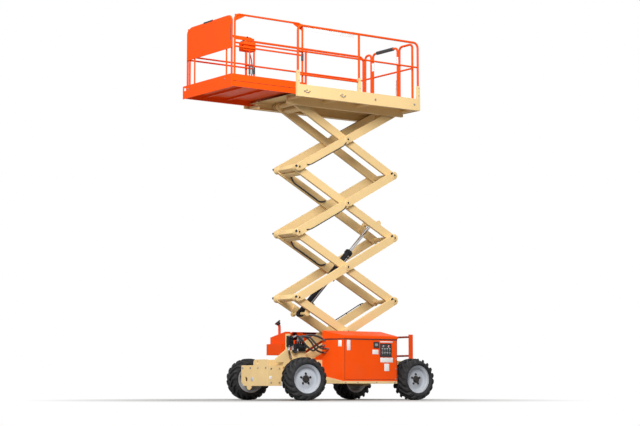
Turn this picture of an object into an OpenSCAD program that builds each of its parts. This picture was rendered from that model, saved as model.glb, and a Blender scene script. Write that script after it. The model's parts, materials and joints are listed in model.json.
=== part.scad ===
// Rough terrain scissor lift with a raised platform and a roll-out deck extension.
// X runs to the front, Y to the left and Z up from the ground, in millimetres.
// The origin is on the ground, under the middle of the whole machine.

/* [Wheels and axles] */
// Distance between the front and the rear axle
wheelbase = 2160; // [2100:10:2300]
// Distance of the middle of the wheelbase ahead of the middle of the frame
wheels_x = 42; // [20:1:60]
// Diameter of a tyre over its lugs
tyre_d = 680; // [640:5:690]
// Width of a tyre
tyre_w = 330; // [300:5:340]
// Height of a tyre's lugs
lug_h = 30; // [15:1:40]
// Radius of the seat where a tyre meets its rim
bead_r = 205; // [190:1:215]
// Width of a rim between its flanges
rim_w = 230; // [200:5:240]
// Distance from the middle of the machine to the middle of a wheel
wheel_y = 833; // [820:0.5:850]
// Distance from the middle of the machine to a king pin
kingpin_y = 710; // [700:1:720]
// Turn of the steered wheels, to the right below zero
steer_angle = -11; // [-30:1:30]
// Radius of a wheel drive motor
motor_r = 105; // [80:1:120]
// Radius of a wheel spindle
spindle_r = 40; // [30:1:45]

/* [Chassis] */
// Distance from the middle to the inner face of a frame rail
rail_in_y = 385; // [375:1:390]
// Distance from the middle to the outer face of a frame rail
rail_out_y = 420; // [410:1:430]
// Height of the lower scissor pivots
pivot_z = 585; // [560:1:620]
// Height of the underside of the equipment boxes
sill_z = 268; // [240:1:290]
// Distance from the middle to the outer side of a box
box_y = 860; // [820:1:880]
// Height of the top edge of a box at its outer side
box_top_z = 980; // [900:5:990]
// Height of the ridge of a lid
lid_ridge_z = 1120; // [1080:1:1125]
// Thickness of the box sheet
sheet = 5; // [3:0.5:8]

/* [Scissor] */
// Length of a scissor arm between its end pins
arm_l = 2220; // [2100:10:2260]
// Depth of a scissor arm
arm_h = 130; // [110:1:130]
// Thickness of a scissor arm
arm_t = 50; // [40:1:50]
// Distance from the middle to the outer face of the outer arms
arm_out_y = 322; // [315:1:324]
// Running gap between the inner and the outer arms
arm_gap = 8; // [6:0.5:14]
// Rise of the arms above level
lift_angle = 28.4; // [5:0.1:52]
// Radius of the scissor pins
pin_r = 22; // [16:1:26]
// Distance of a lift cylinder pin from the end of its arm
cyl_along = 330; // [290:5:360]
// Distance of a lift cylinder pin from the middle line of its arm
cyl_off = 100; // [95:1:110]
// Radius of the lift cylinder barrel
barrel_r = 56; // [45:1:62]
// Length of the barrel from its pin to its gland
barrel_l = 1460; // [1350:5:1480]
// Radius of the cylinder rod
rod_r = 29; // [22:1:31]

/* [Platform] */
// Length of the main deck
deck_l = 2460; // [2400:10:2520]
// Width over the main deck side plates
deck_w = 1560; // [1540:5:1580]
// Height of the main deck side plates
deck_side_h = 195; // [180:5:220]
// Length of the roll-out deck that stands out in front of the main deck
ext_out = 1262; // [1230:5:1270]
// Height of the top rail above the underside of the deck
rail_top_h = 1150; // [1100:5:1200]
// Height of the middle rail above the underside of the deck
rail_mid_h = 735; // [700:5:780]
// Radius of the rail tubes
tube_r = 19; // [15:0.5:20]

/* [Hidden] */
$fn = 48;
orange = [0.95, 0.31, 0.05];
cream = [0.93, 0.78, 0.52];
black = [0.06, 0.06, 0.06];
steel = [0.72, 0.74, 0.76];
rubber = [0.1, 0.1, 0.1];

run = 0.05;
joint_gap = 0.5;
pin_side_gap = 1.5;

// Lugs in a row on one side of a tyre, and the angle from one to the next
lug_count = 18;
lug_pitch = 360 / lug_count;
tyre_r = tyre_d / 2;
// A tyre stands on the flat top of a lug, which is a quarter of a pitch to each side
axle_z = tyre_r * cos(lug_pitch / 4);
front_x = wheels_x + wheelbase / 2;
rear_x = wheels_x - wheelbase / 2;
disc_out = 62;
disc_t = 12;
flange_r = bead_r + 20;
flange_t = 10;
barrel_t = 8;

arm_in_y = arm_out_y - arm_t;
inner_out_y = arm_in_y - arm_gap;
inner_in_y = inner_out_y - arm_t;
pin_end_y = arm_out_y + 14;
end_r = arm_h / 2;
lift_s = sin(lift_angle);
lift_c = cos(lift_angle);
stage_h = arm_l * lift_s;
stages = 4;
pivot_rear_x = rear_x - 30;
pivot_front_x = pivot_rear_x + arm_l * lift_c;
pivot_mid_x = (pivot_rear_x + pivot_front_x) / 2;
top_pivot_z = pivot_z + stages * stage_h;
cross_r = 36;
roller_r = 50;
channel_h = 2 * roller_r + 4;
flange_in_y = arm_out_y + 23;
flange_plate = 8;

deck_z = top_pivot_z + 3;
deck_rear_x = pivot_rear_x - 199;
deck_front_x = deck_rear_x + deck_l;
ext_front_x = deck_front_x + ext_out;
side_plate = 8;
floor_z = deck_z + 70;
floor_t = 5;
// Length of the fixed sill that carries the rear rails, behind the floor
rear_sill_l = 95;
rail_y = deck_w / 2 - side_plate - tube_r;
ext_half_w = rail_y - tube_r - 9;
ext_side = 8;
ext_floor_z = floor_z + 45;
ext_tube_r = 16;
ext_rail_y = ext_half_w - ext_side - ext_tube_r - joint_gap;
runner_w = 40;
runner_z = floor_z - 30;
floor_half_w = ext_half_w - runner_w - 10;
ext_rear_x = deck_front_x - 130;
top_rail_z = deck_z + rail_top_h;
mid_rail_z = deck_z + rail_mid_h;
socket_top_z = deck_z + 415;

ladder_x = rear_x - 422;
ladder_depth = 70;
body_rear_x = ladder_x - ladder_depth / 2;
xc = -(ext_front_x + body_rear_x) / 2;

rail_rear_x = rear_x - 262;
rail_front_x = front_x + 128;
rail_top_z = pivot_z + channel_h / 2 + flange_plate;
rail_bot_z = pivot_z - channel_h / 2 - flange_plate;
frame_low_z = 300;
front_plate_t = 25;
beam_top_z = rail_bot_z - 25;

// Room between a rear tyre and the back of a box
box_wheel_gap = 13;
box_rear_x = rear_x + tyre_r + box_wheel_gap;
box_front_x = 400;
box_front_in_x = 500;
// The tank is stepped: its upper part is set back from the front
tank_front_x = 715;
tank_upper_x = 640;
tank_step_z = 920;
tank_z = tyre_d + 55;
// Room for the corner of the lid that swings down past the tank
tank_gap = 35;
tank_pad_w = 60;
tank_pad_h = 50;
tray_h = 39;
box_z = sill_z + tray_h;
lid_low_z = box_top_z + joint_gap;
lid_edge_z = box_top_z + 50;
lid_hinge_z = lid_ridge_z - 22;
lid_hinge_r = 9;
lid_hinge_y = rail_out_y + lid_hinge_r;
lid_in_y = rail_out_y + sheet + 1;

// Moves what is placed from the middle of the wheelbase into the part's frame
module at_chassis() {
    translate([xc, 0, 0]) children();
}

module both_sides() {
    children();
    mirror([0, 1, 0]) children();
}

module on_side(side) {
    mirror([0, side < 0 ? 1 : 0, 0]) children();
}

// A box between two opposite corners
module block(low, high) {
    translate(low) cube(high - low);
}

// A round bar between two points
module bar(from, to, r) {
    span = to - from;
    reach = norm(span);
    translate(from)
        rotate([0, acos(span.z / reach), atan2(span.y, span.x)])
            cylinder(r = r, h = reach);
}

// A round bar along Y between two distances from the middle
module cross_bar(x, y_from, y_to, z, r) {
    translate([x, y_to, z]) rotate([90, 0, 0]) cylinder(r = r, h = y_to - y_from);
}

// A plate in the XZ plane between two distances from the middle
module side_sheet(points, y_from, y_to) {
    translate([0, y_to, 0])
        rotate([90, 0, 0])
            linear_extrude(y_to - y_from) polygon(points);
}

// A quarter of a bent tube in the XZ plane, from level to upright
module bend(r_bend, r) {
    rotate([90, 0, 0])
        rotate_extrude(angle = 90)
            translate([r_bend, 0]) circle(r);
}

// An upside down U of tube in the XZ plane, with its feet at x = 0 and x = w
module hoop(w, h, r_bend, r) {
    cylinder(r = r, h = h - r_bend);
    translate([w, 0, 0]) cylinder(r = r, h = h - r_bend);
    bar([r_bend, 0, h], [w - r_bend, 0, h], r);
    translate([w - r_bend, 0, h - r_bend]) bend(r_bend, r);
    translate([r_bend, 0, h - r_bend]) mirror([1, 0, 0]) bend(r_bend, r);
}

// Turns a steered piece of one side about its king pin
module steered(side) {
    translate([front_x, side * kingpin_y, 0])
        rotate([0, 0, steer_angle])
            translate([-front_x, -side * kingpin_y, 0])
                children();
}

// Sets a wheel piece, drawn about Z with its outside up, at the end of an axle
module at_wheel(x, side) {
    translate([x, side * wheel_y, axle_z]) rotate([-side * 90, 0, 0]) children();
}

// Wheels

module rim() {
    color(steel) {
        rotate_extrude() {
            translate([bead_r - barrel_t, -rim_w / 2]) square([barrel_t, rim_w]);
            for (w = [-rim_w / 2 - flange_t, rim_w / 2])
                translate([bead_r - barrel_t, w]) square([flange_r - bead_r + barrel_t, flange_t]);
            translate([spindle_r + run, disc_out - disc_t])
                square([bead_r - spindle_r - run - barrel_t / 2, disc_t]);
        }
        translate([0, 0, disc_out]) cylinder(r = spindle_r + 14, h = 36);
    }
}

// Rings of a tyre from its inner bead over the tread to its outer bead, each with its place
// along the axle, radius, rise at the lugs, lead in pitches and whether it follows the lugs
function tyre_rings(half, seat, foot, wall_r, bead, flange) = [
    [-seat, bead, 0, 0, false], [-seat, flange, 0, 0, false], [-half, wall_r, 0, 0, false],
    [-half, foot, 0, 0.25, true], [-half + shoulder, foot, lug_h, 0.25, true],
    [-lug_end, foot, lug_h, 0.75, true], [0, foot, 0, 0.5, true], [lug_end, foot, lug_h, 0.25, true],
    [half - shoulder, foot, lug_h, -0.25, true], [half, foot, 0, -0.25, true],
    [half, wall_r, 0, 0, false], [seat, flange, 0, 0, false], [seat, bead, 0, 0, false]];
// Distance over which a lug falls to the side wall, and from the middle to a lug's inner end
shoulder = 8;
lug_end = 14;
// Places of the two edges of a lug's top and of the groove behind it, in pitches
lug_steps = [0, 0.5, 0.75];
lug_tops = [1, 1, 0];

// A tyre whose lugs lead one way round, forward on the left for 1 and on the right for -1
module tyre(way) {
    steps = len(lug_steps);
    cols = steps * lug_count;
    // Corners of a ring stand out so that its flats clear the round rim
    grow = 1 / cos(180 / cols);
    rings = tyre_rings(tyre_w / 2, rim_w / 2, tyre_r - lug_h, flange_r + 36,
        (bead_r + run) * grow, (flange_r + 1) * grow);
    points = [for (ring = rings, i = [0 : cols - 1])
        let (step = i % steps,
             share = ring[4] ? lug_steps[step] : step / steps,
             turn = lug_pitch * ((i - step) / steps + share + way * ring[3]),
             r = ring[1] + ring[2] * lug_tops[step])
        [r * cos(turn), r * sin(turn), ring[0]]];
    faces = [for (k = [0 : len(rings) - 1], i = [0 : cols - 1])
        let (next = (k + 1) % len(rings), j = (i + 1) % cols,
             a = k * cols + i, b = k * cols + j, c = next * cols + j, d = next * cols + i)
        each [[a, d, c], [a, c, b]]];
    color(rubber) polyhedron(points, faces);
}

module rim_front_left() { at_chassis() steered(1) at_wheel(front_x, 1) rim(); }
module rim_front_right() { at_chassis() steered(-1) at_wheel(front_x, -1) rim(); }
module rim_rear_left() { at_chassis() at_wheel(rear_x, 1) rim(); }
module rim_rear_right() { at_chassis() at_wheel(rear_x, -1) rim(); }
module tyre_front_left() { at_chassis() steered(1) at_wheel(front_x, 1) tyre(1); }
module tyre_front_right() { at_chassis() steered(-1) at_wheel(front_x, -1) tyre(-1); }
module tyre_rear_left() { at_chassis() at_wheel(rear_x, 1) tyre(1); }
module tyre_rear_right() { at_chassis() at_wheel(rear_x, -1) tyre(-1); }

// Axles and steering

yoke_half = 50;
yoke_back = 70;
yoke_plate = 30;
lug_t = 40;
knuckle_h = 154;
kingpin_r = 20;
motor_in_y = kingpin_y + 55;
motor_out_y = wheel_y + disc_out - disc_t - 6;
spindle_end_y = wheel_y + disc_out - joint_gap;

module front_axle() {
    beam_end = kingpin_y - yoke_back - yoke_plate;
    lug_z = axle_z + knuckle_h / 2 + joint_gap;
    color(cream) at_chassis() {
        block([front_x - 110, -beam_end, beam_top_z - 120],
              [rail_front_x - front_plate_t, beam_end, beam_top_z]);
        both_sides() translate([front_x, 0, 0]) {
            block([-yoke_half, beam_end, lug_z - knuckle_h - 2 * joint_gap - lug_t],
                  [yoke_half, beam_end + yoke_plate, max(lug_z + lug_t, beam_top_z - 120)]);
            for (z = [lug_z, lug_z - knuckle_h - 2 * joint_gap - lug_t]) difference() {
                union() {
                    block([-yoke_half, beam_end, z], [yoke_half, kingpin_y, z + lug_t]);
                    translate([0, kingpin_y, z]) cylinder(r = yoke_half, h = lug_t);
                }
                translate([0, kingpin_y, z - 1]) cylinder(r = kingpin_r + run, h = lug_t + 2);
            }
        }
    }
}

module knuckle(side) {
    low = axle_z - knuckle_h / 2;
    color(cream) at_chassis() steered(side) on_side(side) {
        translate([front_x, kingpin_y, low]) cylinder(r = 48, h = knuckle_h);
        translate([front_x, kingpin_y, low - lug_t])
            cylinder(r = kingpin_r, h = knuckle_h + 2 * lug_t);
        block([front_x - 45, kingpin_y, low], [front_x + 45, motor_in_y + 5, low + knuckle_h]);
        cross_bar(front_x, motor_in_y, motor_out_y, axle_z, motor_r);
        cross_bar(front_x, motor_out_y - 1, spindle_end_y, axle_z, spindle_r);
    }
}
module knuckle_left() { knuckle(1); }
module knuckle_right() { knuckle(-1); }

module rear_axle() {
    color(cream) at_chassis() {
        block([rear_x - 80, -rail_in_y, axle_z - 70], [rear_x + 80, rail_in_y, axle_z + 70]);
        both_sides() {
            cross_bar(rear_x, rail_out_y, motor_out_y, axle_z, motor_r);
            cross_bar(rear_x, motor_out_y - 1, spindle_end_y, axle_z, spindle_r);
        }
    }
}

// Chassis

module frame_rail() {
    side_sheet([[rail_rear_x, frame_low_z], [650, frame_low_z], [740, rail_bot_z],
        [rail_front_x, rail_bot_z], [rail_front_x, rail_top_z], [rail_rear_x, rail_top_z]],
        rail_in_y, rail_out_y);
    for (z = [rail_bot_z, rail_top_z - flange_plate])
        block([rail_rear_x, flange_in_y, z], [rail_front_x, rail_in_y + 1, z + flange_plate]);
}

// The bracket on the left rail, under the valve block
bracket_x = 820;
bracket_h = 130;

// The post that stands on the left rail, with its gusset
module tower_side() {
    top = pivot_z + 465;
    post_x = rail_front_x - 50;
    side_sheet([[post_x - 80, rail_top_z - 10], [post_x - 80, top], [post_x, top],
        [post_x, pivot_z + 215], [rail_front_x + 150, rail_top_z + 15],
        [rail_front_x + 150, rail_top_z - 45], [rail_front_x - 5, rail_top_z - 45]],
        rail_in_y + 8, rail_out_y);
}

nose_half = 376;
nose_depth = 277;
nose_low_z = 230;
nose_top_z = 557;
nose_plate = 14;
nose_front_t = 20;
// The lower far corner of the front plate is cut off by this much
nose_cut = 70;
// The ear that stands up from the front plate, with its tie-down hole
nose_ear_y = -27;
nose_ear_z = 647;
nose_ear_round = 55;
nose_hole = [100, 600];
nose_hole_r = 28;
// The hole low in the front plate, and the round lobe that hangs below it
nose_low_hole = [-234, 335];
nose_low_hole_r = 38;
nose_lobe_y = -155;
nose_lobe_r = 65;

// Outline of the front plate in the YZ plane
module nose_outline() {
    difference() {
        union() {
            polygon([[-nose_half, nose_top_z], [-nose_half, nose_low_z + nose_cut],
                [-nose_half + nose_cut, nose_low_z], [nose_half, nose_low_z], [nose_half, nose_top_z]]);
            translate([nose_ear_y + nose_ear_round, nose_top_z - 1])
                square([nose_half - nose_ear_y - nose_ear_round, nose_ear_z - nose_top_z + 1]);
            translate([nose_ear_y, nose_top_z - 1])
                square([nose_ear_round + 1, nose_ear_z - nose_ear_round - nose_top_z + 1]);
            translate([nose_ear_y + nose_ear_round, nose_ear_z - nose_ear_round]) circle(nose_ear_round);
            translate([nose_lobe_y, nose_low_z]) circle(nose_lobe_r);
        }
        translate(nose_hole) circle(nose_hole_r);
        translate(nose_low_hole) circle(nose_low_hole_r);
    }
}

// The bumper in front of the frame, open below and behind
module nose() {
    front = rail_front_x + nose_depth;
    color(cream) at_chassis() {
        translate([front - nose_front_t, 0, 0]) rotate([90, 0, 90])
            linear_extrude(nose_front_t) nose_outline();
        block([rail_front_x, -nose_half, nose_top_z - nose_plate],
              [front - nose_front_t + 1, nose_half, nose_top_z]);
        block([rail_front_x, -nose_half, nose_low_z + nose_cut],
              [front - nose_front_t + 1, -nose_half + nose_plate, nose_top_z - 1]);
        block([rail_front_x, nose_half - nose_plate, nose_low_z],
              [front - nose_front_t + 1, nose_half, nose_top_z - 1]);
    }
}

module chassis_frame() {
    color(cream) at_chassis() {
        both_sides() {
            frame_rail();
            cross_bar(pivot_rear_x, inner_in_y - 6, rail_in_y + 1, pivot_z, pin_r);
            cross_bar(pivot_rear_x, inner_out_y + joint_gap, rail_in_y + 1, pivot_z, pin_r + 18);
        }
        tower_side();
        block([bracket_x, rail_in_y + 8, rail_top_z - 1],
              [rail_front_x - 130, rail_out_y, rail_top_z + bracket_h]);
        block([rail_rear_x, -rail_in_y - 1, frame_low_z + 20],
              [rail_rear_x + 25, rail_in_y + 1, rail_top_z]);
        block([rail_front_x - front_plate_t, -rail_in_y - 1, beam_top_z - 60],
              [rail_front_x, rail_in_y + 1, rail_top_z]);
        for (x = [-540, 330])
            block([x, -rail_in_y - 1, frame_low_z + 20], [x + 80, rail_in_y + 1, frame_low_z + 140]);
    }
}

module ladder() {
    half = 250;
    stile_t = 32;
    top = 1090;
    low = 400;
    rungs = [420, 735, 1050];
    color(orange) at_chassis() {
        both_sides() {
            block([ladder_x - ladder_depth / 2, half - stile_t / 2, low],
                  [ladder_x + ladder_depth / 2, half + stile_t / 2, top]);
            for (z = [low + 40, rail_top_z - 60])
                block([ladder_x, half - 12, z], [rail_rear_x, half + 12, z + 40]);
        }
        for (z = rungs) cross_bar(ladder_x, -half, half, z, 15);
    }
}

// Equipment boxes

// Plan of a box whose inner side is at y
function box_outline(y) = [[box_rear_x, y], [box_rear_x, box_y], [box_front_x, box_y],
    [box_front_in_x, y]];
// Plan of the space within the sheet, open to y on the inner side
function box_space(y) = [[box_rear_x + sheet, y], [box_rear_x + sheet, box_y - sheet],
    [box_front_x - sheet, box_y - sheet], [box_front_in_x - sheet, y]];
// Place of the slanted front face of a box, at a distance y from the middle
function box_face_x(y) = box_front_x
    + (box_y - y) * (box_front_in_x - box_front_x) / (box_y - rail_out_y);
// Plan of a slab from one distance past the box's front face to another
function face_slab(y_from, y_to, past_from, past_to) = [
    [box_face_x(y_from) + past_from, y_from], [box_face_x(y_to) + past_from, y_to],
    [box_face_x(y_to) + past_to, y_to], [box_face_x(y_from) + past_to, y_from]];
function tank_plan(front) = [[box_front_x + tank_gap, box_y], [box_front_in_x + tank_gap, rail_out_y],
    [front, rail_out_y], [front, box_y]];
hinge_xs = [box_rear_x + 120, (box_rear_x + box_front_x) / 2, box_front_x - 120];
hinge_l = 60;

// The sloped top of a lid or the tank as a bar along X, lowered by drop
module roof(drop) {
    translate([box_rear_x - 50, 0, 0]) rotate([90, 0, 90])
        linear_extrude(tank_front_x - box_rear_x + 100)
            polygon([[rail_out_y - 10, 0], [box_y + 10, 0], [box_y + 10, lid_edge_z - drop],
                [rail_out_y - 10, lid_ridge_z - drop]]);
}

module tray() {
    color(cream) at_chassis() difference() {
        translate([0, 0, sill_z]) linear_extrude(tray_h) polygon(box_outline(rail_out_y));
        translate([0, 0, sill_z + sheet])
            linear_extrude(tray_h) polygon(box_space(rail_out_y + sheet));
    }
}
module tray_left() { tray(); }
module tray_right() { mirror([0, 1, 0]) tray(); }

// One length of the lid hinge's barrel, starting at x
module hinge_barrel(x) {
    translate([x, lid_hinge_y, lid_hinge_z]) rotate([0, 90, 0]) cylinder(r = lid_hinge_r, h = hinge_l);
}

module equipment_box() {
    wall_top = lid_hinge_z - lid_hinge_r - 2;
    color(orange) at_chassis() {
        difference() {
            translate([0, 0, box_z])
                linear_extrude(box_top_z - box_z) polygon(box_outline(rail_out_y));
            translate([0, 0, box_z - 1])
                linear_extrude(box_top_z) polygon(box_space(rail_out_y + sheet));
        }
        block([box_rear_x, rail_out_y, box_top_z - 1],
              [box_front_x, rail_out_y + sheet, wall_top]);
        for (x = hinge_xs) {
            hinge_barrel(x);
            block([x, rail_out_y, wall_top - 1], [x + hinge_l, rail_out_y + sheet, lid_hinge_z]);
        }
    }
}
module box_left() { equipment_box(); }
module box_right() { mirror([0, 1, 0]) equipment_box(); }

module lid() {
    color(orange) at_chassis() {
        difference() {
            intersection() {
                translate([0, 0, lid_low_z])
                    linear_extrude(lid_ridge_z) polygon(box_outline(lid_in_y));
                roof(0);
            }
            intersection() {
                translate([0, 0, lid_low_z - 1])
                    linear_extrude(lid_ridge_z) polygon(box_space(lid_in_y - sheet));
                roof(sheet);
            }
        }
        for (x = hinge_xs) {
            hinge_barrel(x + hinge_l + 2);
            block([x + hinge_l + 2, lid_hinge_y, lid_hinge_z],
                  [x + 2 * hinge_l + 2, lid_hinge_y + lid_hinge_r, lid_ridge_z - 8]);
        }
    }
}
module lid_left() { lid(); }
module lid_right() { mirror([0, 1, 0]) lid(); }

filler_x = 475;
filler_y = box_y - 28;
filler_z = lid_edge_z + 22;
filler_r = 22;
filler_h = 150;
filler_bend_r = 90;
filler_lean = 35;
cap_r = 34;
cap_h = 30;
cap_bar_half = 55;

module tank() {
    color(orange) at_chassis() mirror([0, 1, 0]) {
        intersection() {
            translate([0, 0, tank_z]) {
                linear_extrude(tank_step_z - tank_z) polygon(tank_plan(tank_front_x));
                linear_extrude(lid_ridge_z) polygon(tank_plan(tank_upper_x));
            }
            roof(0);
        }
        for (y = [rail_out_y + 60, box_y - 60 - tank_pad_w], z = [tank_z + 30, box_top_z - 30 - tank_pad_h])
            translate([0, 0, z]) linear_extrude(tank_pad_h)
                polygon(face_slab(y, y + tank_pad_w, 0, tank_gap + 1));
        translate([filler_x, filler_y, tank_z + 20])
            cylinder(r = filler_r + 6, h = filler_z - tank_z - 20);
    }
}

// The filler neck, which leans forward at its top, with a cap that has a bar handle
module filler() {
    at_chassis() translate([filler_x, -filler_y, filler_z]) {
        color(orange) cylinder(r = filler_r, h = filler_h);
        translate([filler_bend_r, 0, filler_h]) mirror([1, 0, 0]) {
            color(orange) rotate([90, 0, 0]) rotate_extrude(angle = filler_lean)
                translate([filler_bend_r, 0]) circle(filler_r);
            color(black) rotate([0, -filler_lean, 0]) translate([filler_bend_r, 0, -1]) {
                cylinder(r = cap_r, h = cap_h);
                block([-cap_bar_half, -12, cap_h - 1], [cap_bar_half, 12, cap_h + 20]);
            }
        }
    }
}

// Room between the rear wall of the box and the engine
engine_rear_gap = 160;
engine_l = 580;
engine_rear_x = box_rear_x + sheet + engine_rear_gap;
engine_top_z = 780;
engine_in_gap = 60;
engine_out_gap = 90;

module engine() {
    color(black) at_chassis() block([engine_rear_x, rail_out_y + engine_in_gap, sill_z + sheet],
        [engine_rear_x + engine_l, box_y - engine_out_gap, engine_top_z]);
}

module manifold() {
    x = rail_front_x - 400;
    z = rail_top_z + bracket_h;
    color(black) at_chassis() {
        block([x, rail_in_y + 10, z], [x + 190, rail_out_y + 40, z + 120]);
        for (i = [0 : 3])
            translate([x + 30 + i * 44, rail_out_y, z + 119]) cylinder(r = 15, h = 50);
    }
}

module control_panel() {
    x = -560;
    z = box_top_z - 190;
    color(black) at_chassis() {
        block([x, box_y, z - 30], [x + 230, box_y + 12, z + 120]);
        block([x + 255, box_y, z + 50], [x + 360, box_y + 12, z + 145]);
    }
}

// Scissor

// Places a child, drawn with its low front end at the origin along -X, as an outer pair
module outer_place(k) {
    translate([pivot_front_x, 0, pivot_z + (k - 1) * stage_h]) rotate([0, lift_angle, 0]) children();
}

// Places a child, drawn with its low rear end at the origin along +X, as an inner pair
module inner_place(k) {
    translate([pivot_rear_x, 0, pivot_z + (k - 1) * stage_h]) rotate([0, -lift_angle, 0]) children();
}

module arm(y_from, y_to) {
    block([0, y_from, -end_r], [arm_l, y_to, end_r]);
    for (x = [0, arm_l]) cross_bar(x, y_from, y_to, 0, end_r);
}

// A pin that stands out of an inner arm through the outer arm beside it
module arm_pin(x) {
    cross_bar(x, inner_in_y + 1, pin_end_y, 0, pin_r);
    cross_bar(x, arm_out_y + pin_side_gap, pin_end_y, 0, pin_r + 9);
}

module slide_roller(x, y_from) {
    cross_bar(x, y_from, rail_in_y - 3, 0, pin_r);
    cross_bar(x, flange_in_y - 12, rail_in_y - 3, 0, roller_r);
}

module outer_arms(k) {
    color(cream) at_chassis() outer_place(k) mirror([1, 0, 0]) both_sides() {
        difference() {
            arm(arm_in_y, arm_out_y);
            for (x = [k == 1 ? arm_l : 0, arm_l / 2, arm_l])
                cross_bar(x, arm_in_y - 1, arm_out_y + 1, 0, pin_r + run);
        }
        if (k == 1) slide_roller(0, arm_out_y - 1);
    }
}

module inner_arms(k) {
    color(cream) at_chassis() inner_place(k) {
        difference() {
            union() {
                both_sides() arm(inner_in_y, inner_out_y);
                for (x = [k == 1 ? 240 : 0, arm_l])
                    cross_bar(x, -inner_in_y - 1, inner_in_y + 1, 0, cross_r);
            }
            if (k == 1)
                cross_bar(0, -inner_out_y - 1, inner_out_y + 1, 0, pin_r + run);
        }
        both_sides() {
            arm_pin(arm_l / 2);
            if (k > 1) arm_pin(0);
            if (k < stages) arm_pin(arm_l);
            if (k == stages) slide_roller(arm_l, inner_out_y - 1);
        }
        if (k == 1) cylinder_foot();
        if (k == 3) cylinder_head();
    }
}

cyl_pin_r = 24;
eye_half = 30;
ear_r = 44;
ear_t = 24;
// Room beside an ear for the arm of the next stage, which folds down past it
ear_gap = 7;
ear_out_y = inner_in_y - ear_gap;

// A plate beside each inner arm, from the arm's middle line to a cylinder pin, on a pad
module cylinder_ears(x, off) {
    both_sides() {
        block([x - ear_r, ear_out_y - ear_t, min(0, off)], [x + ear_r, ear_out_y, max(0, off)]);
        cross_bar(x, ear_out_y - ear_t, ear_out_y, off, ear_r);
        block([x - ear_r, ear_out_y - 1, -ear_r], [x + ear_r, inner_in_y + 1, ear_r]);
        block([x - ear_r, ear_out_y - ear_t, -ear_r], [x + ear_r, ear_out_y, ear_r]);
    }
}

// The plates and the pin that carry the foot of the lift cylinder, below an inner pair
module cylinder_foot() {
    x = arm_l - cyl_along;
    cylinder_ears(x, -cyl_off);
    cross_bar(x, -ear_out_y, ear_out_y, -cyl_off, cyl_pin_r);
}

// The plates and half pins that face the rod's eye, above an inner pair
module cylinder_head() {
    cylinder_ears(cyl_along, cyl_off);
    both_sides()
        cross_bar(cyl_along, eye_half + 6, ear_out_y, cyl_off, cyl_pin_r);
}

// Pin places of the lift cylinder in the XZ plane
foot_x = pivot_front_x - cyl_along * lift_c + cyl_off * lift_s;
foot_z = pivot_z + stage_h - cyl_along * lift_s - cyl_off * lift_c;
head_x = pivot_rear_x + cyl_along * lift_c - cyl_off * lift_s;
head_z = pivot_z + 2 * stage_h + cyl_along * lift_s + cyl_off * lift_c;
cyl_l = norm([head_x - foot_x, head_z - foot_z]);
cyl_tilt = atan2(foot_x - head_x, head_z - foot_z);

// Places a child, drawn along Z from the foot pin, on the line of the lift cylinder
module at_cylinder() {
    at_chassis() translate([foot_x, 0, foot_z]) rotate([0, -cyl_tilt, 0]) children();
}

module cylinder_barrel() {
    bore_l = barrel_l - 60;
    color(black) at_cylinder() difference() {
        union() {
            cross_bar(0, -eye_half - 10, eye_half + 10, 0, ear_r + 8);
            translate([0, 0, 20]) cylinder(r = barrel_r, h = barrel_l - 20);
            translate([0, 0, barrel_l - 70]) cylinder(r = barrel_r + 5, h = 70);
            block([-barrel_r - 40, -34, 120], [-barrel_r + 12, 34, 300]);
        }
        cross_bar(0, -barrel_r, barrel_r, 0, cyl_pin_r + run);
        translate([0, 0, barrel_l - bore_l]) cylinder(r = rod_r + run, h = bore_l + 1);
    }
}

module cylinder_rod() {
    rod_low = barrel_l - 650;
    color(steel) at_cylinder() {
        translate([0, 0, rod_low]) cylinder(r = rod_r, h = cyl_l - rod_low);
        cross_bar(0, -eye_half, eye_half, cyl_l, ear_r);
    }
}

// Platform

module deck_channel() {
    low = top_pivot_z - channel_h / 2 - flange_plate;
    high = top_pivot_z + channel_h / 2 + flange_plate;
    block([deck_rear_x + 60, rail_in_y, low], [deck_front_x - 10, rail_in_y + flange_plate, high]);
    for (z = [low, high - flange_plate])
        block([deck_rear_x + 60, flange_in_y, z], [deck_front_x - 10, rail_in_y + 1, z + flange_plate]);
    cross_bar(pivot_rear_x, arm_in_y - 4, rail_in_y + 1, top_pivot_z, pin_r);
    cross_bar(pivot_rear_x, arm_out_y + pin_side_gap, rail_in_y + 1, top_pivot_z, pin_r + 18);
}

post_xs = [deck_rear_x + side_plate + tube_r + 1, (deck_rear_x + deck_front_x) / 2 + 35, deck_front_x + 24];
socket_half = 25;
post_low_z = deck_z + 60;
low_rail_z = deck_z + 355;
low_rail_r = tube_r - 4;
// Room round the low rail in the slot of a socket
slot_gap = 2;
outrigger_xs = [deck_rear_x + 70, -250, 420, deck_front_x - 80];
outrigger_h = 35;

// A post socket on the inside of a deck side plate
module post_socket(x) {
    difference() {
        block([x - socket_half, rail_y - tube_r - 3, deck_z], [x + socket_half, deck_w / 2, socket_top_z]);
        translate([x, rail_y, post_low_z]) cylinder(r = tube_r + run, h = socket_top_z);
    }
}

// The slots in the sockets that the low rail drops into
module low_rail_slot() {
    half = low_rail_r + slot_gap;
    block([post_xs[1], rail_y - half, low_rail_z - half], [post_xs[2], rail_y + half, socket_top_z + 1]);
}

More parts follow.
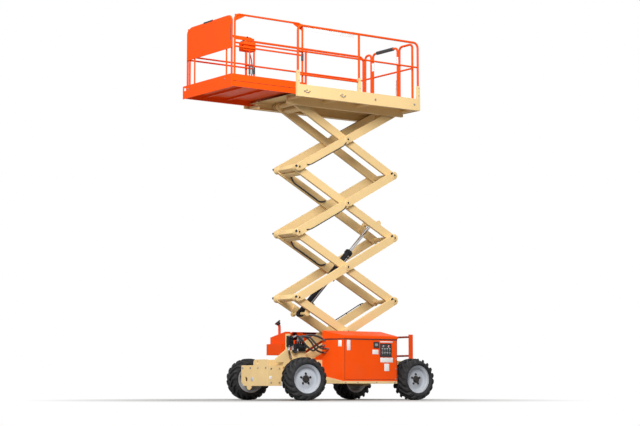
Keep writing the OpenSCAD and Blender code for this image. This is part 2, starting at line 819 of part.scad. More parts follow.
module deck_frame() {
    half = deck_w / 2;
    channel_top = top_pivot_z + channel_h / 2 + flange_plate;
    color(cream) at_chassis() {
        both_sides() {
            deck_channel();
            block([deck_rear_x + 60, flange_in_y, channel_top - 1],
                  [deck_front_x - 10, rail_in_y + flange_plate, floor_z]);
            difference() {
                union() {
                    block([deck_rear_x, half - side_plate, deck_z],
                          [deck_front_x, half, deck_z + deck_side_h]);
                    block([deck_rear_x, half - 60, deck_z],
                          [deck_front_x, half - side_plate + 1, deck_z + side_plate]);
                }
                for (x = post_xs)
                    translate([x, rail_y, post_low_z]) cylinder(r = tube_r + run, h = socket_top_z);
            }
            difference() {
                for (x = post_xs) post_socket(x);
                low_rail_slot();
            }
            for (x = outrigger_xs) {
                block([x, rail_in_y + flange_plate - 1, deck_z],
                      [x + 50, half - side_plate + 1, deck_z + outrigger_h]);
                block([x, ext_half_w - 35, deck_z + outrigger_h - 1],
                      [x + 50, ext_half_w - 5, runner_z - 0.3]);
            }
        }
        block([deck_rear_x, -half + 1, deck_z],
              [deck_rear_x + side_plate, half - 1, deck_z + deck_side_h]);
        block([deck_rear_x + side_plate - 1, -floor_half_w, floor_z],
              [deck_rear_x + rear_sill_l, floor_half_w, floor_z + floor_t]);
        both_sides() block([deck_rear_x, flange_in_y, deck_z],
              [deck_rear_x + 61, rail_in_y + flange_plate, floor_z]);
    }
}

module deck_floor() {
    color(steel) at_chassis()
        block([deck_rear_x + rear_sill_l + joint_gap, -floor_half_w, floor_z],
              [deck_front_x - 5, floor_half_w, floor_z + floor_t]);
}

module rail_side() {
    bend_r = 90;
    translate([0, rail_y, 0]) {
        translate([post_xs[0], 0, post_low_z])
            hoop(post_xs[2] - post_xs[0], top_rail_z - post_low_z, bend_r, tube_r);
        bar([post_xs[1], 0, post_low_z], [post_xs[1], 0, top_rail_z], tube_r);
        bar([post_xs[0], 0, mid_rail_z], [post_xs[2], 0, mid_rail_z], tube_r - 4);
        bar([post_xs[1], 0, low_rail_z], [post_xs[2], 0, low_rail_z], low_rail_r);
    }
}
module rail_left() { color(orange) at_chassis() rail_side(); }
module rail_right() { color(orange) at_chassis() mirror([0, 1, 0]) rail_side(); }

gate_low_y = -430;
gate_high_y = 255;
gate_x = deck_rear_x + 62;
gate_low_z = floor_z + 60;
gate_post_gap = 12;
gate_pin_r = 8;
gate_pin_h = 40;
rear_hoop_y = floor_half_w - tube_r - 4;

module rail_rear() {
    bend_r = 70;
    stand_z = floor_z + floor_t;
    gap = 2 * tube_r + gate_post_gap;
    feet = [[-rear_hoop_y, gate_low_y - gap], [gate_high_y + gap, rear_hoop_y]];
    color(orange) at_chassis() {
        for (pair = feet)
            translate([gate_x, pair[0], stand_z]) rotate([0, 0, 90]) {
                hoop(pair[1] - pair[0], top_rail_z - stand_z, bend_r, tube_r);
                bar([0, 0, mid_rail_z - stand_z], [pair[1] - pair[0], 0, mid_rail_z - stand_z], tube_r - 4);
            }
        translate([gate_x, gate_low_y, gate_low_z]) {
            block([-14, -gap, -16], [14, 14, -joint_gap]);
            translate([0, 0, -8]) cylinder(r = gate_pin_r, h = gate_pin_h + 8);
        }
    }
}

module gate() {
    w = gate_high_y - gate_low_y;
    h = top_rail_z - gate_low_z;
    color(orange) at_chassis() translate([gate_x, gate_low_y, gate_low_z]) rotate([0, 0, 90])
        difference() {
            union() {
                hoop(w, h, 70, tube_r);
                bar([0, 0, mid_rail_z - gate_low_z], [w, 0, mid_rail_z - gate_low_z], tube_r - 4);
                bar([0, 0, gate_pin_h + 40], [w, 0, gate_pin_h + 40], tube_r - 4);
            }
            translate([0, 0, -1]) cylinder(r = gate_pin_r + run, h = gate_pin_h + 3);
        }
}

module extension_deck() {
    side_top = deck_z + deck_side_h + 42;
    color(orange) at_chassis() {
        block([ext_rear_x, -ext_half_w, ext_floor_z], [ext_front_x, ext_half_w, ext_floor_z + floor_t]);
        both_sides() {
            block([ext_rear_x, ext_half_w - ext_side, ext_floor_z], [ext_front_x, ext_half_w, side_top]);
            block([ext_rear_x, ext_half_w - runner_w, runner_z], [ext_front_x, ext_half_w, ext_floor_z + 1]);
        }
        block([ext_front_x - ext_side, -ext_half_w, runner_z - 14], [ext_front_x, ext_half_w, side_top]);
        for (x = [ext_front_x - 420, ext_front_x - 840])
            block([x, -ext_half_w + 1, ext_floor_z - 30], [x + 40, ext_half_w - 1, ext_floor_z + 1]);
    }
}

ext_top_z = deck_z + 1187;
ext_post_front = ext_front_x - 75;
ext_post_rear = ext_rear_x + 30;

module extension_rail_side() {
    low = ext_floor_z + floor_t;
    bend_r = 90;
    translate([0, ext_rail_y, 0]) {
        translate([ext_post_rear, 0, low])
            hoop(ext_post_front - ext_post_rear, ext_top_z - low, bend_r, ext_tube_r);
        for (z = [mid_rail_z, mid_rail_z - 58])
            bar([ext_post_rear, 0, z], [ext_post_front, 0, z], ext_tube_r - 2);
    }
}
module extension_rail_left() { color(orange) at_chassis() extension_rail_side(); }
module extension_rail_right() { color(orange) at_chassis() mirror([0, 1, 0]) extension_rail_side(); }

front_rail_x = ext_front_x - 70;
// Distance of the front rail's feet from the sides of the extension
front_rail_in = 100;
module extension_front_rail() {
    low = ext_floor_z + floor_t;
    half = ext_half_w - front_rail_in;
    color(orange) at_chassis() translate([front_rail_x, 0, low]) {
        translate([0, -half, 0]) rotate([0, 0, 90])
            hoop(2 * half, ext_top_z - low - 10, 90, ext_tube_r);
        for (y = [-half + 150, half - 150])
            bar([0, y, 0], [0, y, mid_rail_z - low], ext_tube_r - 3);
        bar([0, -half, mid_rail_z - low - 40], [0, half, mid_rail_z - low - 40], ext_tube_r - 2);
    }
}

// Height of the lower edge of the front panel above the underside of the deck
panel_low_h = 655;
module front_panel() {
    half = ext_half_w - 50;
    low = deck_z + panel_low_h;
    round_r = 150;
    color(orange) at_chassis() translate([front_rail_x + ext_tube_r + 0.3, 0, 0])
        rotate([90, 0, 90])
        linear_extrude(12) union() {
            translate([-half, low]) square([2 * half, ext_top_z - low - round_r]);
            translate([-half + round_r, low]) square([2 * half - 2 * round_r, ext_top_z - low]);
            for (y = [-half + round_r, half - round_r])
                translate([y, ext_top_z - round_r]) circle(round_r);
        }
}

module platform_control() {
    x = ext_front_x - 480;
    color(black) at_chassis() translate([x, ext_rail_y - ext_tube_r + 1.7, mid_rail_z - 100]) {
        block([0, -140, 0], [230, 0, 150]);
        translate([120, -70, 149]) cylinder(r = 14, h = 90);
    }
}

chassis_frame();
nose();
front_axle();
rear_axle();
ladder();
tray_left();
tray_right();
box_left();
box_right();
lid_left();
lid_right();
tank();
filler();
engine();
manifold();
control_panel();
knuckle_left();
knuckle_right();
rim_front_left();
rim_front_right();
rim_rear_left();
rim_rear_right();
tyre_front_left();
tyre_front_right();
tyre_rear_left();
tyre_rear_right();
inner_arms(1);  // inner_arms_1
outer_arms(1);  // outer_arms_1
inner_arms(2);  // inner_arms_2
outer_arms(2);  // outer_arms_2
inner_arms(3);  // inner_arms_3
outer_arms(3);  // outer_arms_3
inner_arms(4);  // inner_arms_4
outer_arms(4);  // outer_arms_4
cylinder_barrel();
cylinder_rod();
deck_frame();
deck_floor();
rail_left();
rail_right();
rail_rear();
gate();
extension_deck();
extension_rail_left();
extension_rail_right();
extension_front_rail();
front_panel();
platform_control();
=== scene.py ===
"""Dresses a rough terrain scissor lift: paint, wheels, hoses, plates, controls and a plain studio."""

import json
import math

import bmesh
import bpy
from mathutils import Matrix, Vector


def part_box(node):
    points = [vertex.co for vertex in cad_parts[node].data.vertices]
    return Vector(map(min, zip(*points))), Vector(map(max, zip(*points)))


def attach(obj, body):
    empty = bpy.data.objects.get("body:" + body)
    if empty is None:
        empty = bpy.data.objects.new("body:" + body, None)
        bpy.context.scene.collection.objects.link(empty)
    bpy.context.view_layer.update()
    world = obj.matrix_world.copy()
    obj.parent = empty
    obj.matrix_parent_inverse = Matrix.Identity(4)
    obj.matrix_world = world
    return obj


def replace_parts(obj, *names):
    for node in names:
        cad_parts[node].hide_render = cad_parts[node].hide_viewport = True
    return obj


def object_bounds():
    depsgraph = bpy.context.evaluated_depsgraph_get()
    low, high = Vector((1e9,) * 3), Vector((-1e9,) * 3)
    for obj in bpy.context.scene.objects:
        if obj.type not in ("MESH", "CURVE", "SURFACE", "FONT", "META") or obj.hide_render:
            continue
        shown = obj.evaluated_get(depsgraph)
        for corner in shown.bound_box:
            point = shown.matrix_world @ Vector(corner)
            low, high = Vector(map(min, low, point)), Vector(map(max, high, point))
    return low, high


bl_info = {
    "name": "Scissor lift finish",
    "version": (1, 0, 0),
    "blender": (4, 5, 0),
    "location": "View3D > Sidebar > Lift",
    "description": "Paint, wheels, hoses, plates and controls for a scissor lift, with a plain studio",
    "category": "Object",
}

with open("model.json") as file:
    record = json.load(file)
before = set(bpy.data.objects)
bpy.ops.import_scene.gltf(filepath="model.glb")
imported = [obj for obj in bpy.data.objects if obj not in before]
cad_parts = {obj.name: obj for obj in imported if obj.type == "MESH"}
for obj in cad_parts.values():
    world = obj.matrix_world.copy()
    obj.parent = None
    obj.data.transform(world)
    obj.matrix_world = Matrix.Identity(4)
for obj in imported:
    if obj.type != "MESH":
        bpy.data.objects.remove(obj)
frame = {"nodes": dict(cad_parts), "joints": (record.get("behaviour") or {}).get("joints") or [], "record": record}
CAD_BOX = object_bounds()
JOINTS = {joint["name"]: joint for joint in frame["joints"]}
SLOTS = {part["node"]: part["material_slot"] for part in frame["record"]["subparts"]}
WHEELS = ("front_left", "front_right", "rear_left", "rear_right")
STAGES = (1, 2, 3, 4)
# Names of the sides, with the sign of Y there
SIDES = {"left": 1, "right": -1}
FRONT, LEFT, UP = (Vector(way) for way in ((1, 0, 0), (0, 1, 0), (0, 0, 1)))
# Height of the main deck's floor, from which the platform's fittings are placed
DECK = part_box("deck_floor")[1].z
SMOOTH_BELOW = math.radians(38)
FLAT_BELOW = math.radians(0.6)
# How deep a plate, a seam or a fitting is set into the face that carries it
SUNK = 0.001


# Settings that a user would change

class LiftColours(bpy.types.PropertyGroup):
    """Colours of the lift's finishes"""

    orange: bpy.props.FloatVectorProperty(
        name="Orange paint", description="Paint of the boxes, rails and roll-out deck",
        subtype="COLOR", default=(0.90, 0.082, 0.003))
    cream: bpy.props.FloatVectorProperty(
        name="Cream paint", description="Paint of the chassis, the arms and the main deck",
        subtype="COLOR", default=(0.82, 0.59, 0.285))
    black: bpy.props.FloatVectorProperty(
        name="Black paint", description="Paint of the cylinder and the valve block",
        subtype="COLOR", default=(0.014, 0.014, 0.016))
    rubber: bpy.props.FloatVectorProperty(
        name="Rubber", description="Tyres and hoses",
        subtype="COLOR", default=(0.018, 0.018, 0.019))
    rim: bpy.props.FloatVectorProperty(
        name="Rim paint", description="Silver paint of the rims",
        subtype="COLOR", default=(0.47, 0.50, 0.55))
    plate: bpy.props.FloatVectorProperty(
        name="Blank plate", description="Plates with nothing printed on them",
        subtype="COLOR", default=(0.82, 0.82, 0.80))
    dust: bpy.props.FloatVectorProperty(
        name="Dust", description="Dust that settles low down and on the tyres",
        subtype="COLOR", default=(0.30, 0.25, 0.19))
    steel: bpy.props.FloatVectorProperty(
        name="Bare steel", description="Rod, bolts and worn edges",
        subtype="COLOR", default=(0.62, 0.62, 0.63))
    stop: bpy.props.FloatVectorProperty(
        name="Stop button", description="Red of the stop buttons",
        subtype="COLOR", default=(0.60, 0.012, 0.010))


class LiftSizes(bpy.types.PropertyGroup):
    """Sizes of what is added to the lift"""

    edge: bpy.props.FloatProperty(
        name="Edge", description="Rounding of a folded or cut edge", unit="LENGTH", default=0.003)
    lug_count: bpy.props.IntProperty(
        name="Lugs", description="Lugs on each side of a tyre", default=18, min=8, max=40)
    lug_depth: bpy.props.FloatProperty(
        name="Lug depth", description="Height of a lug above the carcass", unit="LENGTH", default=0.030)
    nut_circle: bpy.props.FloatProperty(
        name="Nut circle", description="Radius of the circle of wheel nuts", unit="LENGTH", default=0.082)
    nut_count: bpy.props.IntProperty(
        name="Wheel nuts", description="Nuts that hold a wheel", default=5, min=3, max=10)
    bolt: bpy.props.FloatProperty(
        name="Bolt head", description="Width of a bolt head over its flats", unit="LENGTH", default=0.024)
    hose: bpy.props.FloatProperty(
        name="Hose", description="Diameter of a hydraulic hose", unit="LENGTH", default=0.031)


class LiftStage(bpy.types.PropertyGroup):
    """The studio and the camera"""

    camera_place: bpy.props.FloatVectorProperty(
        name="Camera place", description="Where the camera stands, just above the floor",
        subtype="TRANSLATION", unit="LENGTH", default=(15.728, 22.174, 0.211))
    heading: bpy.props.FloatProperty(
        name="Heading", description="Way the camera looks, turned from the front of the lift",
        subtype="ANGLE", default=-2.19489)
    tilt: bpy.props.FloatProperty(
        name="Tilt", description="How far the camera looks up", subtype="ANGLE", default=0.1041)
    lens: bpy.props.FloatProperty(
        name="Lens", description="Focal length on a sensor 36 mm wide", default=93.75)
    world_light: bpy.props.FloatProperty(
        name="World light", description="Strength of the soft light from all round", default=0.34)
    floor_seen: bpy.props.FloatProperty(
        name="Floor as seen", description="Share of the light that the floor shows to the camera",
        default=0.50)
    floor_near: bpy.props.FloatProperty(
        name="Shadow reach", description="Distance up to which the floor keeps the lift's shadow",
        unit="LENGTH", default=2.2)
    floor_far: bpy.props.FloatProperty(
        name="White from", description="Distance from which the floor is plain white",
        unit="LENGTH", default=4.6)
    floor_bounce: bpy.props.FloatProperty(
        name="Floor bounce", description="Share of the light that the floor sends up to the lift",
        default=0.32)
    key_light: bpy.props.FloatProperty(
        name="Key light", description="Power of the large lamp in front of the lift", default=2700.0)
    fill_light: bpy.props.FloatProperty(
        name="Fill light", description="Power of the lamp ahead of the lift", default=300.0)
    top_light: bpy.props.FloatProperty(
        name="Top light", description="Power of the lamp overhead", default=620.0)


SETTINGS = {"lift_colours": LiftColours, "lift_sizes": LiftSizes, "lift_stage": LiftStage}


def colour_of(name):
    return tuple(getattr(bpy.context.scene.lift_colours, name))


def sizes():
    return bpy.context.scene.lift_sizes


def stage():
    return bpy.context.scene.lift_stage


# Meshes

def new_meshes(count):
    return [bmesh.new() for _ in range(count)]


def facing(spot, way):
    """A matrix at spot whose Z axis points along way."""
    return Matrix.Translation(Vector(spot)) @ Vector(way).to_track_quat("Z", "Y").to_matrix().to_4x4()


def set_along(spot, ahead, across, up):
    """A matrix at spot whose three axes point along the given ways."""
    return Matrix.Translation(spot) @ Matrix((ahead, across, up)).transposed().to_4x4()


def grow_block(mesh, first, last, edge, turn=Matrix.Identity(4)):
    """Adds a box between two opposite corners, turned as a whole, with rounded edges."""
    low = Vector([min(pair) for pair in zip(first, last)])
    high = Vector([max(pair) for pair in zip(first, last)])
    span = high - low
    place = turn @ Matrix.Translation((low + high) / 2) @ Matrix.Diagonal((*span, 1))
    made = bmesh.ops.create_cube(mesh, size=1.0, matrix=place)
    edges = list({line for corner in made["verts"] for line in corner.link_edges})
    widest = min(span) * 0.45
    bmesh.ops.bevel(mesh, geom=edges, offset=min(edge, widest), segments=2, affect="EDGES", profile=0.5)


def skin_rings(mesh, rings):
    """Joins each ring of corners to the next, and closes both ends."""
    for low, high in zip(rings, rings[1:]):
        for corner in range(len(low)):
            after = (corner + 1) % len(low)
            mesh.faces.new((low[corner], low[after], high[after], high[corner]))
    mesh.faces.new(rings[0])
    mesh.faces.new(rings[-1])


def grow_lathe(mesh, profile, place, steps=40, closed=False):
    """Turns a profile of (radius, height) points about the Z axis of place."""
    turns = [2 * math.pi * step / steps for step in range(steps)]
    rings = []
    for radius, height in profile:
        round_spots = [(radius * math.cos(a), radius * math.sin(a), height) for a in turns]
        spots = round_spots if radius > 0 else [(0, 0, height)]
        rings.append([mesh.verts.new(place @ Vector(spot)) for spot in spots])
    pairs = list(zip(rings, rings[1:]))
    if closed:
        pairs.append((rings[-1], rings[0]))
    for low, high in pairs:
        for step in range(steps):
            after = (step + 1) % steps
            corners = (low[step % len(low)], low[after % len(low)],
                       high[after % len(high)], high[step % len(high)])
            corners = list(dict.fromkeys(corners))
            if len(corners) > 2:
                mesh.faces.new(corners)


def smooth_path(points, steps=8):
    """Points along a smooth curve through the given ones."""
    spots = [Vector(point) for point in points]
    ends = [spots[0] * 2 - spots[1], *spots, spots[-1] * 2 - spots[-2]]
    path = []
    for before, start, stop, after in zip(ends, ends[1:], ends[2:], ends[3:]):
        for step in range(steps):
            t = step / steps
            path.append(0.5 * (2 * start + (stop - before) * t
                               + (2 * before - 5 * start + 4 * stop - after) * t ** 2
                               + (3 * start - before - 3 * stop + after) * t ** 3))
    return [*path, spots[-1]]


def grow_tube(mesh, points, radius, sides=12):
    """Sweeps a round tube along points, with flat ends."""
    spots = [Vector(point) for point in points]
    ways = [(after - before).normalized() for before, after in zip(spots, spots[1:])]
    ways = [ways[0], *[(a + b).normalized() for a, b in zip(ways, ways[1:])], ways[-1]]
    across = ways[0].orthogonal().normalized()
    turns = [2 * math.pi * side / sides for side in range(sides)]
    rings = []
    for spot, way in zip(spots, ways):
        across = (across - way * across.dot(way)).normalized()
        over = way.cross(across)
        rings.append([mesh.verts.new(spot + radius * (across * math.cos(a) + over * math.sin(a)))
                      for a in turns])
    skin_rings(mesh, rings)


def grow_bolt(mesh, spot, way, width):
    """Adds a hexagon bolt head on a washer, standing on spot."""
    place = facing(spot, way)
    corner = width / math.sqrt(3)
    washer, washer_t, head_h = width * 0.72, width * 0.10, width * 0.50
    grow_lathe(mesh, [(0, 0), (washer, 0), (washer, washer_t), (0, washer_t)], place, 20)
    grow_lathe(mesh, [(0, washer_t), (corner, washer_t), (corner, width * 0.42), (corner * 0.86, head_h),
                      (0, head_h)], place, 6)


def grow_bolts(mesh, spots, way, width):
    for spot in spots:
        grow_bolt(mesh, spot, way, width)


def make_piece(name, mesh, finish, body):
    """Turns a mesh under construction into a piece that rides on a body."""
    bmesh.ops.recalc_face_normals(mesh, faces=mesh.faces[:])
    for face in mesh.faces:
        face.smooth = True
    for line in mesh.edges:
        line.smooth = len(line.link_faces) == 2 and line.calc_face_angle(0) < SMOOTH_BELOW
    data = bpy.data.meshes.new(name)
    mesh.to_mesh(data)
    mesh.free()
    data.materials.append(bpy.data.materials[finish])
    piece = bpy.data.objects.new(name, data)
    bpy.context.scene.collection.objects.link(piece)
    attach(piece, body)
    return piece


# Shader nodes and groups

def feed(tree, socket, value):
    """Links a socket to another one, or sets its value."""
    if isinstance(value, bpy.types.NodeSocket):
        tree.links.new(value, socket)
    else:
        socket.default_value = value


def calculated(tree, operation, first, second):
    """The clamped result of a Math node."""
    node = tree.nodes.new("ShaderNodeMath")
    node.operation = operation
    node.use_clamp = True
    feed(tree, node.inputs[0], first)
    feed(tree, node.inputs[1], second)
    return node.outputs[0]


def noise(tree, vector, scale, detail):
    node = tree.nodes.new("ShaderNodeTexNoise")
    for label, value in (("Vector", vector), ("Scale", scale), ("Detail", detail)):
        feed(tree, node.inputs[label], value)
    return node.outputs[0]


def ramp(tree, value, low, high, start=0.0, stop=1.0):
    """Maps value from low to high onto start to stop."""
    node = tree.nodes.new("ShaderNodeMapRange")
    for label, given in (("Value", value), ("From Min", low), ("From Max", high), ("To Min", start),
                         ("To Max", stop)):
        feed(tree, node.inputs[label], given)
    return node.outputs[0]


def mixed(tree, factor, *pair):
    """A mix of two colours, each a socket or a colour."""
    node = tree.nodes.new("ShaderNodeMix")
    node.data_type = "RGBA"
    feed(tree, node.inputs[0], factor)
    for socket, colour in zip(node.inputs[6:8], pair):
        feed(tree, socket, (*colour, 1) if isinstance(colour, tuple) else colour)
    return node.outputs[2]


def new_group(name, inputs, outputs):
    """A shader node group that takes a Vector and numbers, and puts out numbers."""
    group = bpy.data.node_groups.new(name, "ShaderNodeTree")
    group.interface.new_socket("Vector", in_out="INPUT", socket_type="NodeSocketVector")
    for label, value in inputs.items():
        socket = group.interface.new_socket(label, in_out="INPUT", socket_type="NodeSocketFloat")
        socket.default_value = value
    for label in outputs:
        group.interface.new_socket(label, in_out="OUTPUT", socket_type="NodeSocketFloat")
    return group, group.nodes.new("NodeGroupInput").outputs, group.nodes.new("NodeGroupOutput").inputs


def worn_edges():
    """Mask of the rubbed edges of a painted piece."""
    group, given, put = new_group("worn_edges", {"Reach": 0.004}, ["Mask"])
    round_over = group.nodes.new("ShaderNodeBevel")
    round_over.samples = 4
    feed(group, round_over.inputs["Radius"], given["Reach"])
    dot = group.nodes.new("ShaderNodeVectorMath")
    dot.operation = "DOT_PRODUCT"
    feed(group, dot.inputs[0], round_over.outputs[0])
    feed(group, dot.inputs[1], group.nodes.new("ShaderNodeNewGeometry").outputs["Normal"])
    bent = ramp(group, calculated(group, "SUBTRACT", 1.0, dot.outputs["Value"]), 0.06, 0.22)
    patches = ramp(group, noise(group, given["Vector"], 17.0, 4.0), 0.56, 0.70)
    feed(group, put["Mask"], calculated(group, "MULTIPLY", bent, patches))
    return group


def settled_dust():
    """Mask of the dust that lies on a machine, thicker towards the ground."""
    group, given, put = new_group("settled_dust", {"Height": 0.9, "Amount": 0.3}, ["Mask"])
    parts = group.nodes.new("ShaderNodeSeparateXYZ")
    feed(group, parts.inputs[0], given["Vector"])
    height = calculated(group, "DIVIDE", parts.outputs["Z"], given["Height"])
    low_down = calculated(group, "SUBTRACT", 1.0, height)
    cloud = ramp(group, noise(group, given["Vector"], 5.0, 6.0), 0.35, 0.75)
    cloud = calculated(group, "MULTIPLY", cloud, low_down)
    feed(group, put["Mask"], calculated(group, "MULTIPLY", cloud, given["Amount"]))
    return group


def paint_skin():
    """Slow changes of tone and the fine orange peel of sprayed paint."""
    group, given, put = new_group("paint_skin", {"Peel Scale": 260.0}, ["Tone", "Height"])
    feed(group, put["Tone"], noise(group, given["Vector"], 1.7, 3.0))
    feed(group, put["Height"], noise(group, given["Vector"], given["Peel Scale"], 2.0))
    return group


GROUP_MAKERS = {"worn_edges": worn_edges, "settled_dust": settled_dust, "paint_skin": paint_skin}


def placed_group(tree, name, vector, **values):
    """Places a shared node group in a material, with its own values."""
    node = tree.nodes.new("ShaderNodeGroup")
    node.node_tree = bpy.data.node_groups.get(name) or GROUP_MAKERS[name]()
    feed(tree, node.inputs["Vector"], vector)
    for label, value in values.items():
        node.inputs[label.replace("_", " ")].default_value = value
    return node.outputs


# Materials

def bare_material(name):
    """A new material's node tree, the inputs of its shader and the coordinates of the piece."""
    finish = bpy.data.materials.new(name)
    finish.use_nodes = True
    tree = finish.node_tree
    spot = tree.nodes.new("ShaderNodeTexCoord").outputs["Object"]
    return tree, tree.nodes["Principled BSDF"].inputs, spot


def add_bump(tree, shader, height, strength, distance):
    bump = tree.nodes.new("ShaderNodeBump")
    for label, value in (("Strength", strength), ("Distance", distance), ("Height", height)):
        feed(tree, bump.inputs[label], value)
    feed(tree, shader["Normal"], bump.outputs[0])


def shade(colour, share):
    return tuple(channel * share for channel in colour)


def paint(name, colour, worn, gloss, dust_amount):
    """Sprayed enamel with uneven tone, rubbed edges and dust low down."""
    tree, shader, spot = bare_material(name)
    skin = placed_group(tree, "paint_skin", spot)
    rubbed = placed_group(tree, "worn_edges", spot)["Mask"]
    dusty = placed_group(tree, "settled_dust", spot, Amount=dust_amount)["Mask"]
    tone = mixed(tree, ramp(tree, skin["Tone"], 0.3, 0.7), shade(colour, 0.92), colour)
    tone = mixed(tree, rubbed, tone, worn)
    feed(tree, shader["Base Color"], mixed(tree, dusty, tone, colour_of("dust")))
    rough = ramp(tree, skin["Tone"], 0.0, 1.0, gloss, gloss + 0.16)
    rough = calculated(tree, "MAXIMUM", rough, calculated(tree, "MULTIPLY", dusty, 0.9))
    feed(tree, shader["Roughness"], rough)
    shader["Specular IOR Level"].default_value = 0.1
    add_bump(tree, shader, skin["Height"], 0.12, 0.0006)


def orange_paint():
    colour = colour_of("orange")
    paint("orange_paint", colour, shade(colour, 0.55), 0.40, 0.10)


def cream_paint():
    colour = colour_of("cream")
    paint("cream_paint", colour, shade(colour, 0.60), 0.40, 0.30)


def black_metal():
    paint("black_metal", colour_of("black"), shade(colour_of("steel"), 0.25), 0.30, 0.22)


def silver_rim():
    colour = colour_of("rim")
    paint("silver_rim", colour, shade(colour, 0.45), 0.30, 0.28)


def moulded(name, colour, lighter, peel_scale, rough, bump):
    """Plastic or rubber with a fine grain, uneven in tone and gloss."""
    tree, shader, spot = bare_material(name)
    skin = placed_group(tree, "paint_skin", spot, Peel_Scale=peel_scale)
    feed(tree, shader["Base Color"], mixed(tree, skin["Tone"], colour, shade(colour, lighter)))
    feed(tree, shader["Roughness"], ramp(tree, skin["Tone"], 0.0, 1.0, *rough))
    add_bump(tree, shader, skin["Height"], *bump)


def black_plastic():
    moulded("black_plastic", colour_of("black"), 1.9, 900.0, (0.353, 0.941), (0.35, 0.0004))


def hose_rubber():
    moulded("hose_rubber", colour_of("rubber"), 1.7, 420.0, (0.263, 0.789), (0.3, 0.0006))


def tyre_rubber():
    """Dull rubber, greyed by dust and scuffed in patches."""
    tree, shader, spot = bare_material("tyre_rubber")
    colour = colour_of("rubber")
    skin = placed_group(tree, "paint_skin", spot, Peel_Scale=340.0)
    scuffs = ramp(tree, noise(tree, spot, 22.0, 6.0), 0.45, 0.80)
    rubbed = placed_group(tree, "worn_edges", spot, Reach=0.006)["Mask"]
    tone = mixed(tree, scuffs, colour, shade(colour, 2.4))
    tone = mixed(tree, calculated(tree, "MULTIPLY", rubbed, 0.5), tone, shade(colour_of("dust"), 0.5))
    feed(tree, shader["Base Color"], tone)
    feed(tree, shader["Roughness"], ramp(tree, scuffs, 0.0, 1.0, 0.611, 0.889))
    shader["Specular IOR Level"].default_value = 0.2
    add_bump(tree, shader, skin["Height"], 0.4, 0.0008)


def deck_steel():
    """Deck sheet with raised grip marks and worn tops, painted on its underside."""
    tree, shader, spot = bare_material("deck_steel")
    colour = shade(colour_of("steel"), 0.6)
    cells = tree.nodes.new("ShaderNodeTexVoronoi")
    cells.inputs["Scale"].default_value = 26.0
    feed(tree, cells.inputs["Vector"], spot)
    marks = ramp(tree, cells.outputs["Distance"], 0.36, 0.20)
    above = tree.nodes.new("ShaderNodeSeparateXYZ")
    feed(tree, above.inputs[0], tree.nodes.new("ShaderNodeNewGeometry").outputs["Normal"])
    upward = ramp(tree, above.outputs["Z"], -0.2, 0.2)
    sheet = mixed(tree, marks, shade(colour, 0.6), colour)
    feed(tree, shader["Base Color"], mixed(tree, upward, colour_of("cream"), sheet))
    feed(tree, shader["Roughness"], ramp(tree, marks, 0.0, 1.0, 0.786, 0.429))
    feed(tree, shader["Metallic"], calculated(tree, "MULTIPLY", upward, 0.7))
    add_bump(tree, shader, calculated(tree, "MULTIPLY", marks, upward), 0.6, 0.002)


def mottled(name, first, second, scale, detail, patches, rough, metal=0.0):
    """A finish that wanders in patches between two colours and two roughnesses."""
    tree, shader, spot = bare_material(name)
    tone = ramp(tree, noise(tree, spot, scale, detail), *patches)
    feed(tree, shader["Base Color"], mixed(tree, tone, first, second))
    feed(tree, shader["Roughness"], ramp(tree, tone, 0.0, 1.0, *rough))
    shader["Metallic"].default_value = metal


def chrome_rod():
    """Polished rod with faint streaks of oil."""
    colour = colour_of("steel")
    mottled("chrome_rod", colour, shade(colour, 0.8), 34.0, 5.0, (0.0, 1.0), (0.037, 0.407), 1.0)


def bolt_steel():
    """Plated bolts and pin ends, stained in patches."""
    colour = colour_of("steel")
    mottled("bolt_steel", shade(colour, 0.55), shade(colour, 0.32), 48.0, 4.0, (0.4, 0.7),
            (0.290, 0.613), 0.85)


def blank_plate():
    """Bare white plate, slightly greyed in places."""
    colour = colour_of("plate")
    mottled("blank_plate", colour, shade(colour, 0.86), 9.0, 4.0, (0.35, 0.75), (0.364, 0.591))


def stop_red():
    """Moulded red of a stop button."""
    colour = colour_of("stop")
    mottled("stop_red", colour, shade(colour, 0.8), 30.0, 2.0, (0.0, 1.0), (0.286, 0.524))


FINISH_MAKERS = (orange_paint, cream_paint, black_metal, silver_rim, black_plastic, tyre_rubber, hose_rubber,
                 chrome_rod, bolt_steel, deck_steel, blank_plate, stop_red)


# Operators

